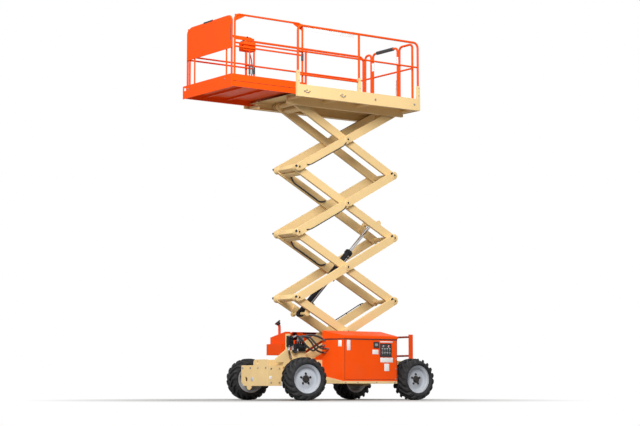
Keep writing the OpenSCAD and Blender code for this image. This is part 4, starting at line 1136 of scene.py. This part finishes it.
class LIFT_OT_scissor(bpy.types.Operator):
    """Adds pin bolts, bosses, cross members, conduits and hoses to the arms"""

    bl_idname = "lift.scissor"
    bl_label = "Scissor"

    # Distances from the middle plane: inner faces of the inner arms, outer faces of the outer arms, pin ends
    inner_face, outer_face, pin_end = 0.2135, 0.322, 0.336
    pin_profile = ((0, 0), (0.0175, 0), (0.0175, 0.0035), (0.0145, 0.005), (0, 0.005))
    boss_profile = ((0.034, -0.001), (0.056, -0.001), (0.056, 0.005), (0.051, 0.009), (0.034, 0.009))
    # Cross members near and at the high end: distance from it, half length and half height
    near_cross, end_cross, cross_edge = (0.12, 0.045, 0.050), (0.0, 0.044, 0.042), 0.008
    # Stages whose arms carry the tubes that show, with each high hose's height on its arm
    conduit_stages, low_hose_stages, high_hose_stages = (2, 3), (3, 4), {1: 0.0795, 4: 0.0615}
    # A conduit: shares of the arm that it spans, place across and up, radius
    conduit_span, conduit_y, conduit_low, conduit_r = (0.57, 0.88), -0.2005, -0.046, 0.0125
    # How far inside these shares it runs straight, and has its outer clips
    straight_in, outer_clip_in = 0.06, 0.16
    # Its turned ends: distances out from these shares, and heights
    conduit_ends = ((0.05, 0.030), (0.01, -0.012))
    hose_proud, hose_r, low_hose_off = 0.009, 0.0088, -0.0615
    # The hoses' ends: the low one's from the arm's low end and middle, the high one's from the middle and
    # the high end
    low_hose_ends, high_hose_ends = (0.15, 0.06), (0.10, 0.12)
    # A hose's turned ends: distances in from its ends, and shares of its height on the arm
    hose_ends = ((0.0, 0.5), (0.05, 0.84), (0.12, 1.0))
    clip_half, clip_shares, clip_edge = 0.012, (0.60, 0.75, 0.90), 0.003
    clip_sunk, conduit_clip_half = 0.0005, 0.016
    # A high hose's clip: its foot on the arm, and how far its top stays below the hose's middle
    hose_clip_foot, hose_clip_below = 0.045, 0.007
    # Pads by an arm's low and high pin: distances along from the pin, lower and upper edge
    low_pad, high_pad = (-0.065, -0.030, 0.020, 0.055), (-0.055, -0.015, 0.040, 0.069)
    pad_sunk, pad_proud, pad_edge = 0.004, 0.014, 0.004

    def execute(self, context):
        base = Vector(JOINTS["lift"]["pos_m"])
        top = Vector(JOINTS["outer_2_turn"]["pos_m"])
        self.rise = top.z - base.z
        self.length = math.hypot(self.rise, top.x - base.x)
        ahead = Vector((top.x - base.x, 0, self.rise)) / self.length
        # The foot of each pair on the first stage, the way along its arms and the way over them
        self.pairs = {
            "inner": (base, ahead, Vector((-ahead.z, 0, ahead.x))),
            "outer": (Vector((top.x, 0, base.z)), Vector((-ahead.x, 0, ahead.z)),
                      Vector((ahead.z, 0, ahead.x)))}
        for number in STAGES:
            self.inner_pair(number)
            self.outer_pair(number)
        return {"FINISHED"}

    def arm(self, pair, number):
        """A matrix on an arm: along it from its low end, across the machine, and over its middle line."""
        foot, along, over = self.pairs[pair]
        return set_along(foot + UP * self.rise * (number - 1), along, LEFT, over)

    def inner_pair(self, number):
        arm, body = self.arm("inner", number), f"inner_{number}"
        bolts, cross = new_meshes(2)
        first, last = number == STAGES[0], number == STAGES[-1]
        pins = [self.length / 2] + [0.0] * (not first) + [self.length] * (not last)
        for along in pins:
            for hand in SIDES.values():
                place = facing(arm @ Vector((along, hand * self.pin_end, 0)), LEFT * hand)
                grow_lathe(bolts, self.pin_profile, place, 6)
        for wanted, (back, half, tall) in ((not first, self.near_cross), (not last, self.end_cross)):
            if wanted:
                middle = self.length - back
                grow_block(cross, (middle - half, -self.inner_face, -tall),
                           (middle + half, self.inner_face, tall), self.cross_edge, arm)
        make_piece(f"pin_bolts_{number}", bolts, "black_metal", body)
        make_piece(f"cross_members_{number}", cross, "cream_paint", body)
        if number in self.conduit_stages:
            self.conduit(number, arm, body)

    def conduit(self, number, arm, body):
        """A black tube along the inner face of the right arm, turned up at both ends."""
        tube, clips = new_meshes(2)
        start, stop = (share * self.length for share in self.conduit_span)
        y, low = self.conduit_y, self.conduit_low
        clip_places = (start + self.outer_clip_in, (start + stop) / 2, stop - self.outer_clip_in)
        route = [(start - out, y, up) for out, up in self.conduit_ends]
        straight = (start + self.straight_in, *clip_places, stop - self.straight_in)
        route += [(along, y, low) for along in straight]
        route += [(stop + out, y, up) for out, up in reversed(self.conduit_ends)]
        grow_tube(tube, smooth_path([arm @ Vector(spot) for spot in route], 6), self.conduit_r)
        for along in clip_places:
            grow_block(clips, (along - self.clip_half, -self.inner_face - self.clip_sunk,
                               low - self.conduit_clip_half),
                       (along + self.clip_half, y, low + self.conduit_clip_half), self.clip_edge, arm)
        make_piece(f"conduit_{number}", tube, "hose_rubber", body)
        make_piece(f"conduit_clips_{number}", clips, "bolt_steel", body)

    def outer_pair(self, number):
        arm, body = self.arm("outer", number), f"outer_{number}"
        boss, hose, pads = new_meshes(3)
        half, face, out = self.length / 2, self.outer_face, self.outer_face + self.hose_proud
        for along in [0.0] * (number > 1) + [half, self.length]:
            for hand in SIDES.values():
                place = facing(arm @ Vector((along, hand * face, 0)), LEFT * hand)
                grow_lathe(boss, self.boss_profile, place, 36, closed=True)
        if number in self.low_hose_stages:
            start, short = self.low_hose_ends
            self.hose(hose, arm, start, half - short, self.low_hose_off, out)
        if number in self.high_hose_stages:
            off = self.high_hose_stages[number]
            start, short = self.high_hose_ends
            self.hose(hose, arm, half + start, self.length - short, off, -out)
            for share in self.clip_shares:
                along = share * self.length
                grow_block(pads, (along - self.clip_half, -out, self.hose_clip_foot),
                           (along + self.clip_half, SUNK - face, off - self.hose_clip_below),
                           self.clip_edge, arm)
        for pin, (first, last, low, high) in ((0.0, self.low_pad), (self.length, self.high_pad)):
            for hand in SIDES.values():
                grow_block(pads, (pin + first, hand * (face - self.pad_sunk), low),
                           (pin + last, hand * (face + self.pad_proud), high), self.pad_edge, arm)
        make_piece(f"pin_bosses_{number}", boss, "cream_paint", body)
        if hose.verts:
            make_piece(f"arm_hose_{number}", hose, "hose_rubber", body)
        make_piece(f"arm_pads_{number}", pads, "black_plastic", body)

    def hose(self, mesh, arm, start, stop, off, y):
        """A hose clipped along an edge of an outer arm, with its ends turned in."""
        route = [(start + back, y, off * share) for back, share in self.hose_ends]
        route.append(((start + stop) / 2, y, off))
        route += [(stop - back, y, off * share) for back, share in reversed(self.hose_ends)]
        grow_tube(mesh, smooth_path([arm @ Vector(spot) for spot in route], 6), self.hose_r)


class LIFT_OT_cylinder(bpy.types.Operator):
    """Adds the gland, the ports, the lowering valve and the pipe to the lift cylinder"""

    bl_idname = "lift.cylinder"
    bl_label = "Lift cylinder"

    gland_l, port_half, port_edge, port_bolt, pipe_r = 0.058, 0.028, 0.005, 0.024, 0.008
    # The gland stands out from the tube: distance out and along
    gland_profile = ((0, 0), (0.007, 0.004), (0.007, 0.048), (0.003, 0.054), (0, 0.056))
    valve_profile = ((0, 0), (0.026, 0), (0.026, 0.028), (0.018, 0.034), (0.018, 0.052), (0, 0.056))
    # Ports near the two ends of the barrel, the lowering valve's share along it, and how deep they sit
    port_low, port_high, valve_share, sunk = 0.16, 0.13, 0.60, 0.004

    def execute(self, context):
        base = Vector(JOINTS["barrel_swing"]["pos_m"])
        way = Vector(JOINTS["rod_slide"]["axis"]).normalized()
        low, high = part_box("cylinder_barrel")
        tube = (high.y - low.y) / 2
        end = (low.x - base.x + tube * abs(way.z)) / way.x
        gland, pipe, steel = new_meshes(3)
        profile = [(tube + out, along) for out, along in self.gland_profile]
        grow_lathe(gland, profile, facing(base + way * (end - self.gland_l), way))
        half = self.port_half
        for along in (self.port_low, end - self.port_high):
            spot = base + way * along + LEFT * (tube - self.sunk)
            grow_block(gland, spot + Vector((-half, 0, -half)), spot + Vector((half, half, half)),
                       self.port_edge)
            grow_bolt(steel, spot + LEFT * half, LEFT, self.port_bolt)
        under = way.cross(LEFT)
        valve = base + way * (end * self.valve_share) + under * (tube - self.sunk)
        grow_lathe(gland, self.valve_profile, facing(valve, under), 24)
        # The pipe between the ports: places along the barrel, and distances out from it
        route = ((self.port_low, 0.010), (0.22, 0.018), (0.32, 0.016), (end * 0.55, 0.014),
                 (end - 0.28, 0.016), (end - 0.18, 0.018), (end - self.port_high, 0.010))
        spots = [base + way * along + LEFT * (tube + out) for along, out in route]
        grow_tube(pipe, smooth_path(spots, 6), self.pipe_r, 10)
        make_piece("cylinder_gland", gland, "black_metal", "barrel")
        make_piece("cylinder_pipe", pipe, "bolt_steel", "barrel")
        make_piece("cylinder_bolts", steel, "bolt_steel", "barrel")
        return {"FINISHED"}


class LIFT_OT_platform(bpy.types.Operator):
    """Adds rings, blank strips, gussets, sleeves and bolts to the platform and its rails"""

    bl_idname = "lift.platform"
    bl_label = "Platform"

    # Tie-down rings on the deck's sides: places along, height, and half width and drop of a ring
    ring_places, ring_level, ring_half, ring_drop = (0.577, -0.131), DECK + 0.0285, 0.046, 0.034
    ring_r, ring_out, ring_bolt, ring_bolt_up = 0.0055, 0.010, 0.018, 0.003
    cup_half, cup_low, cup_high, cup_sunk, cup_proud, cup_edge = 0.012, -0.009, 0.015, 0.002, 0.017, 0.004
    bolt_places, bolt_level = (-1.62, -0.80, 0.62), DECK + 0.0207
    # The blank strip under the left top rail, and its clips
    strip_xs, strip_h, strip_half, strip_sunk, strip_edge = (-0.383, 0.560), 0.052, 0.002, 0.002, 0.0015
    clip_places, clip_half, clip_t = (-0.36, 0.09, 0.54), 0.012, 0.002
    # Bolts through the sockets of the posts
    middle_post_x, socket_levels = -0.482, (DECK + 0.1735, DECK + 0.3035)
    socket_t, socket_bolt = 0.003, 0.016
    # The gate's grip and its pale bands
    grip_start, grip_l, band_l, band_t, band_level = 0.13, 0.46, 0.14, 0.002, DECK + 0.7735
    # An end of the grip: how far it stands out from the tube, and along
    grip_end = ((0, 0), (0.011, 0.004), (0.012, 0.012))
    # The gate's latch: its radius, then distances back and in from the post, and heights above the deck
    latch_r = 0.006
    latch_route = ((0, 0, 0.5335), (0.01, 0.045, 0.5135), (0.01, 0.055, 0.4135), (0.01, 0.055, 0.2735),
                   (0.01, 0.045, 0.1835), (0, 0, 0.1635))
    # A gusset in a corner of the extension's rails: distances along and down
    gusset = ((0, 0), (0.20, 0), (0.17, 0.028), (0.04, 0.095), (0, 0.12))
    gusset_half = 0.003
    # The sleeves on the extension's rear posts
    sleeve_l, sleeve_level, sleeve_t, sleeve_taper = 0.12, DECK + 0.5085, 0.004, 0.002
    # The front panel: its grip below its top, its slot drawn as a black strip of painted shade, and its bolts,
    # with heights from its foot
    grip_ys, grip_below, grip_r = (-0.161, 0.095), 0.002, 0.015
    slot_ys, slot_zs, slot_proud, slot_edge = (0.632, 0.648), (0.1215, 0.3755), 0.0015, 0.0008
    panel_bolt_ys, panel_bolt_zs, panel_bolt = (-0.60, -0.20, 0.20, 0.60), (0.0535, 0.4735), 0.014
    # The extension's groove, drawn as a black strip of painted shade, and its bolts and blank plate, with heights
    # from its lowest edge
    seam_zs, seam_rear, seam_front, seam_proud, seam_edge = (0.0975, 0.1035), 0.05, 0.03, 0.0008, 0.0003
    front_bolt_ys, front_bolt_z, front_bolt = (-0.55, 0.55), 0.1475, 0.018
    plate_ys, plate_zs, plate_proud, plate_edge = (-0.685, -0.625), (0.1285, 0.1725), 0.002, 0.0015

    def execute(self, context):
        self.deck_side()
        self.rails()
        self.gate()
        self.extension_rails()
        self.front_panel()
        self.extension_sides()
        return {"FINISHED"}

    def deck_side(self):
        low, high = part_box("deck_frame")
        rings, cups, bolts = new_meshes(3)
        turns = [math.radians(angle) for angle in range(180, 361, 15)]
        level, half = self.ring_level, self.cup_half
        for hand, face in ((1, high.y), (-1, low.y)):
            for x in self.ring_places:
                grow_tube(rings, [(x + self.ring_half * math.cos(a), face + hand * self.ring_out,
                                   level + self.ring_drop * math.sin(a)) for a in turns], self.ring_r, 10)
                for end in (x - self.ring_half, x + self.ring_half):
                    grow_block(cups, (end - half, face - hand * self.cup_sunk, level + self.cup_low),
                               (end + half, face + hand * self.cup_proud, level + self.cup_high),
                               self.cup_edge)
                grow_bolt(bolts, (x, face, level + self.ring_bolt_up), LEFT * hand, self.ring_bolt)
            spots = [(x, face, self.bolt_level) for x in self.bolt_places]
            grow_bolts(bolts, spots, LEFT * hand, sizes().bolt)
        make_piece("tie_rings", rings, "bolt_steel", "platform")
        make_piece("tie_cups", cups, "cream_paint", "platform")
        make_piece("deck_bolts", bolts, "bolt_steel", "platform")

    def rails(self):
        """A blank strip under the left top rail, its clips and the bolts of the sockets."""
        low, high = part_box("rail_left")
        middle, tube = (low.y + high.y) / 2, (high.y - low.y) / 2
        top = high.z - tube
        strip, clips, bolts = new_meshes(3)
        grow_block(strip, (self.strip_xs[0], middle - self.strip_half, top - tube - self.strip_h),
                   (self.strip_xs[1], middle + self.strip_half, top - tube + self.strip_sunk),
                   self.strip_edge)
        for x in self.clip_places:
            ends = [(x - self.clip_half, middle, top), (x + self.clip_half, middle, top)]
            grow_tube(clips, ends, tube + self.clip_t, 20)
        for hand in SIDES.values():
            spots = [(x, hand * (high.y + self.socket_t), z)
                     for x in (low.x + tube, self.middle_post_x, high.x - tube) for z in self.socket_levels]
            grow_bolts(bolts, spots, LEFT * hand, self.socket_bolt)
        make_piece("rail_strip", strip, "blank_plate", "platform")
        make_piece("rail_clips", clips, "orange_paint", "platform")
        make_piece("socket_bolts", bolts, "bolt_steel", "platform")

    def gate(self):
        low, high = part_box("gate")
        tube, middle = (high.x - low.x) / 2, (low.x + high.x) / 2
        grip, bands, latch = new_meshes(3)
        end = [(tube + out, along) for out, along in self.grip_end]
        profile = end + [(radius, self.grip_l - along) for radius, along in reversed(end)]
        grow_lathe(grip, profile, facing((middle, low.y + self.grip_start, high.z - tube), LEFT), 28)
        outer = tube + self.band_t
        band = [(tube, 0), (outer, 0), (outer, self.band_l), (tube, self.band_l)]
        for y in (low.y + tube, high.y - tube):
            grow_lathe(bands, band, facing((middle, y, self.band_level), UP), 24)
        spots = [(middle - back, high.y - tube - inward, DECK + up) for back, inward, up in self.latch_route]
        grow_tube(latch, smooth_path(spots, 6), self.latch_r, 10)
        make_piece("gate_grip", grip, "hose_rubber", "gate")
        make_piece("gate_bands", bands, "blank_plate", "gate")
        make_piece("gate_latch", latch, "bolt_steel", "gate")

    def extension_rails(self):
        """Thin gussets in the corners of the side rails, and sleeves on their rear posts."""
        gussets, sleeves = new_meshes(2)
        for side in SIDES:
            low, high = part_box(f"extension_rail_{side}")
            middle, tube = (low.y + high.y) / 2, (high.y - low.y) / 2
            rear, front, top = low.x + tube, high.x - tube, high.z - tube
            for start, step in ((rear, 1), (front, -1)):
                skin_rings(gussets, [[gussets.verts.new((start + step * along, middle + half, top - down))
                                      for along, down in self.gusset]
                                     for half in (-self.gusset_half, self.gusset_half)])
            outer, long = tube + self.sleeve_t, self.sleeve_l
            sleeve = [(tube, 0), (outer, self.sleeve_taper), (outer, long - self.sleeve_taper), (tube, long)]
            grow_lathe(sleeves, sleeve, facing((rear, middle, self.sleeve_level), UP), 20)
        make_piece("rail_gussets", gussets, "orange_paint", "extension")
        make_piece("rail_sleeves", sleeves, "black_plastic", "extension")

    def front_panel(self):
        low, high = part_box("front_panel")
        middle = (low.x + high.x) / 2
        grip, bolts = new_meshes(2)
        grow_tube(grip, [(middle, y, high.z - self.grip_below) for y in self.grip_ys], self.grip_r, 20)
        # A black strip where the slot is: painted shade of the opening
        grow_block(grip, (high.x - SUNK, self.slot_ys[0], low.z + self.slot_zs[0]),
                   (high.x + self.slot_proud, self.slot_ys[1], low.z + self.slot_zs[1]), self.slot_edge)
        spots = [(high.x, y, low.z + z) for z in self.panel_bolt_zs for y in self.panel_bolt_ys]
        grow_bolts(bolts, spots, FRONT, self.panel_bolt)
        make_piece("panel_grip", grip, "hose_rubber", "extension")
        make_piece("panel_bolts", bolts, "orange_paint", "extension")

    def extension_sides(self):
        """A black strip of painted shade for the groove along each side, and bolts and a blank plate in front."""
        low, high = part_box("extension_deck")
        seam, bolts, plate = new_meshes(3)
        # Black strips along the sides: painted shade of a groove
        for hand in SIDES.values():
            grow_block(seam, (low.x + self.seam_rear, hand * (high.y - SUNK), low.z + self.seam_zs[0]),
                       (high.x - self.seam_front, hand * (high.y + self.seam_proud), low.z + self.seam_zs[1]),
                       self.seam_edge)
        spots = [(high.x, y, low.z + self.front_bolt_z) for y in self.front_bolt_ys]
        grow_bolts(bolts, spots, FRONT, self.front_bolt)
        grow_block(plate, (high.x - SUNK, self.plate_ys[0], low.z + self.plate_zs[0]),
                   (high.x + self.plate_proud, self.plate_ys[1], low.z + self.plate_zs[1]), self.plate_edge)
        make_piece("extension_plate", plate, "blank_plate", "extension")
        make_piece("extension_seam", seam, "black_metal", "extension")
        make_piece("extension_bolts", bolts, "bolt_steel", "extension")


class LIFT_OT_platform_controls(bpy.types.Operator):
    """Makes the platform control box with its lever, its shelf, its post and its cable"""

    bl_idname = "lift.platform_controls"
    bl_label = "Platform controls"

    shell_h, shell_edge = 0.15, 0.012
    plate_in, plate_sunk, plate_h, plate_edge = 0.012, 0.003, 0.006, 0.004
    lever_profile = ((0, 0), (0.030, 0), (0.026, 0.008), (0.020, 0.013), (0.022, 0.018), (0.013, 0.024),
                     (0.009, 0.030), (0.008, 0.052), (0.014, 0.060), (0.016, 0.074), (0.010, 0.083),
                     (0, 0.084))
    stop_profile = ((0, 0), (0.012, 0), (0.012, 0.010), (0.022, 0.012), (0.022, 0.020), (0.014, 0.024),
                    (0, 0.024))
    switch_profile = ((0, 0), (0.009, 0), (0.009, 0.005), (0.004, 0.008), (0.004, 0.020), (0, 0.021))
    stop_in, switch_in, switch_places = 0.045, 0.035, (0.035, 0.069, 0.103)
    mark, mark_edge = ((0.014, -0.008, -0.001), (0.030, 0.008, 0.001)), 0.0005
    # The shelf: its ends, then its top and its folded edge, from the rail and from the box's foot
    shelf_xs = (1.555, 1.892)
    shelf_parts = (((-0.048, 0.1855), (0.004, 0.2035), 0.004), ((-0.006, 0.1555), (0.002, 0.1935), 0.003))
    # The post under the shelf and the black sleeve on it, from the box's foot
    post_x, post_in, post_r, post_top, post_gap = 1.600, 0.016, 0.011, 0.1875, 0.002
    sleeve_zs, sleeve_r = (-0.3665, -0.2265), 0.0165
    # The cable: where it leaves the box, its way down, and its end along the floor with heights above it
    cable_exit, cable_r = Vector((0.10, 0.09, 0.01)), 0.009
    cable_way = ((1.56, 0.640, 5.36), (1.545, 0.655, 5.22), (1.555, 0.665, 5.08), (1.590, 0.660, 4.985))
    cable_end = ((1.640, 0.640, 0.014), (1.70, 0.60, 0.013))

    def execute(self, context):
        low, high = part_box("platform_control")
        top = low.z + self.shell_h
        shell, lever, stop, marks = new_meshes(4)
        grow_block(shell, low, (high.x, high.y, top), self.shell_edge)
        inset, face = self.plate_in, top + self.plate_h
        grow_block(lever, (low.x + inset, low.y + inset, top - self.plate_sunk),
                   (high.x - inset, high.y - inset, face), self.plate_edge)
        middle = Vector(((low.x + high.x) / 2, (low.y + high.y) / 2, face))
        grow_lathe(lever, self.lever_profile, facing(middle, UP), 28)
        grow_lathe(stop, self.stop_profile, facing((high.x - self.stop_in, middle.y, face), UP), 24)
        for across in self.switch_places:
            spot = Vector((low.x + self.switch_in, low.y + across, face))
            grow_lathe(lever, self.switch_profile, facing(spot, UP), 12)
            grow_block(marks, *(spot + Vector(corner) for corner in self.mark), self.mark_edge)
        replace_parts(make_piece("control_shell", shell, "orange_paint", "extension"), "platform_control")
        make_piece("control_lever", lever, "black_metal", "extension")
        make_piece("control_stop", stop, "stop_red", "extension")
        make_piece("control_marks", marks, "blank_plate", "extension")
        self.shelf(low)
        return {"FINISHED"}

    def shelf(self, foot):
        """A folded shelf along the rail, on a thin post, and the cable that comes up it."""
        metal, cable = new_meshes(2)
        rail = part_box("extension_rail_left")[0]
        for (y_first, z_first), (y_last, z_last), edge in self.shelf_parts:
            grow_block(metal, (self.shelf_xs[0], rail.y + y_first, foot.z + z_first),
                       (self.shelf_xs[1], rail.y + y_last, foot.z + z_last), edge)
        post_y = rail.y - self.post_in
        post_ends = (rail.z + self.post_gap, foot.z + self.post_top)
        grow_tube(metal, [(self.post_x, post_y, z) for z in post_ends], self.post_r, 16)
        route = [foot + self.cable_exit, *self.cable_way]
        route += [(x, y, rail.z + up) for x, y, up in self.cable_end]
        grow_tube(cable, smooth_path(route), self.cable_r, 10)
        grow_tube(cable, [(self.post_x, post_y, foot.z + z) for z in self.sleeve_zs], self.sleeve_r, 16)
        make_piece("control_shelf", metal, "orange_paint", "extension")
        make_piece("control_cable", cable, "hose_rubber", "extension")


OPERATORS = (LIFT_OT_stage, LIFT_OT_finishes, LIFT_OT_wheels, LIFT_OT_boxes, LIFT_OT_ground_controls,
             LIFT_OT_front_bay, LIFT_OT_nose, LIFT_OT_scissor, LIFT_OT_cylinder, LIFT_OT_platform,
             LIFT_OT_platform_controls)


class LIFT_PT_sidebar(bpy.types.Panel):
    """Lists the steps that dress the lift"""

    bl_idname = "LIFT_PT_sidebar"
    bl_label = "Scissor lift"
    bl_space_type = "VIEW_3D"
    bl_region_type = "UI"
    bl_category = "Lift"

    def draw(self, context):
        for operator in OPERATORS:
            self.layout.operator(operator.bl_idname)
        for name, settings in SETTINGS.items():
            box = self.layout.box()
            for value in settings.__annotations__:
                box.prop(getattr(context.scene, name), value)


CLASSES = (*SETTINGS.values(), *OPERATORS, LIFT_PT_sidebar)


def register():
    for cls in CLASSES:
        bpy.utils.register_class(cls)
    for name, settings in SETTINGS.items():
        setattr(bpy.types.Scene, name, bpy.props.PointerProperty(type=settings))


def unregister():
    for name in SETTINGS:
        delattr(bpy.types.Scene, name)
    for cls in reversed(CLASSES):
        bpy.utils.unregister_class(cls)


def call_operator(idname):
    """Runs one operator by its idname, and stops the script if it did not finish."""
    space, name = idname.split(".")
    if getattr(getattr(bpy.ops, space), name)() != {"FINISHED"}:
        raise RuntimeError(f"{idname} did not finish")


def main():
    register()
    for operator in OPERATORS:
        call_operator(operator.bl_idname)
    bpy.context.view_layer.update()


if __name__ == "__main__":
    main()
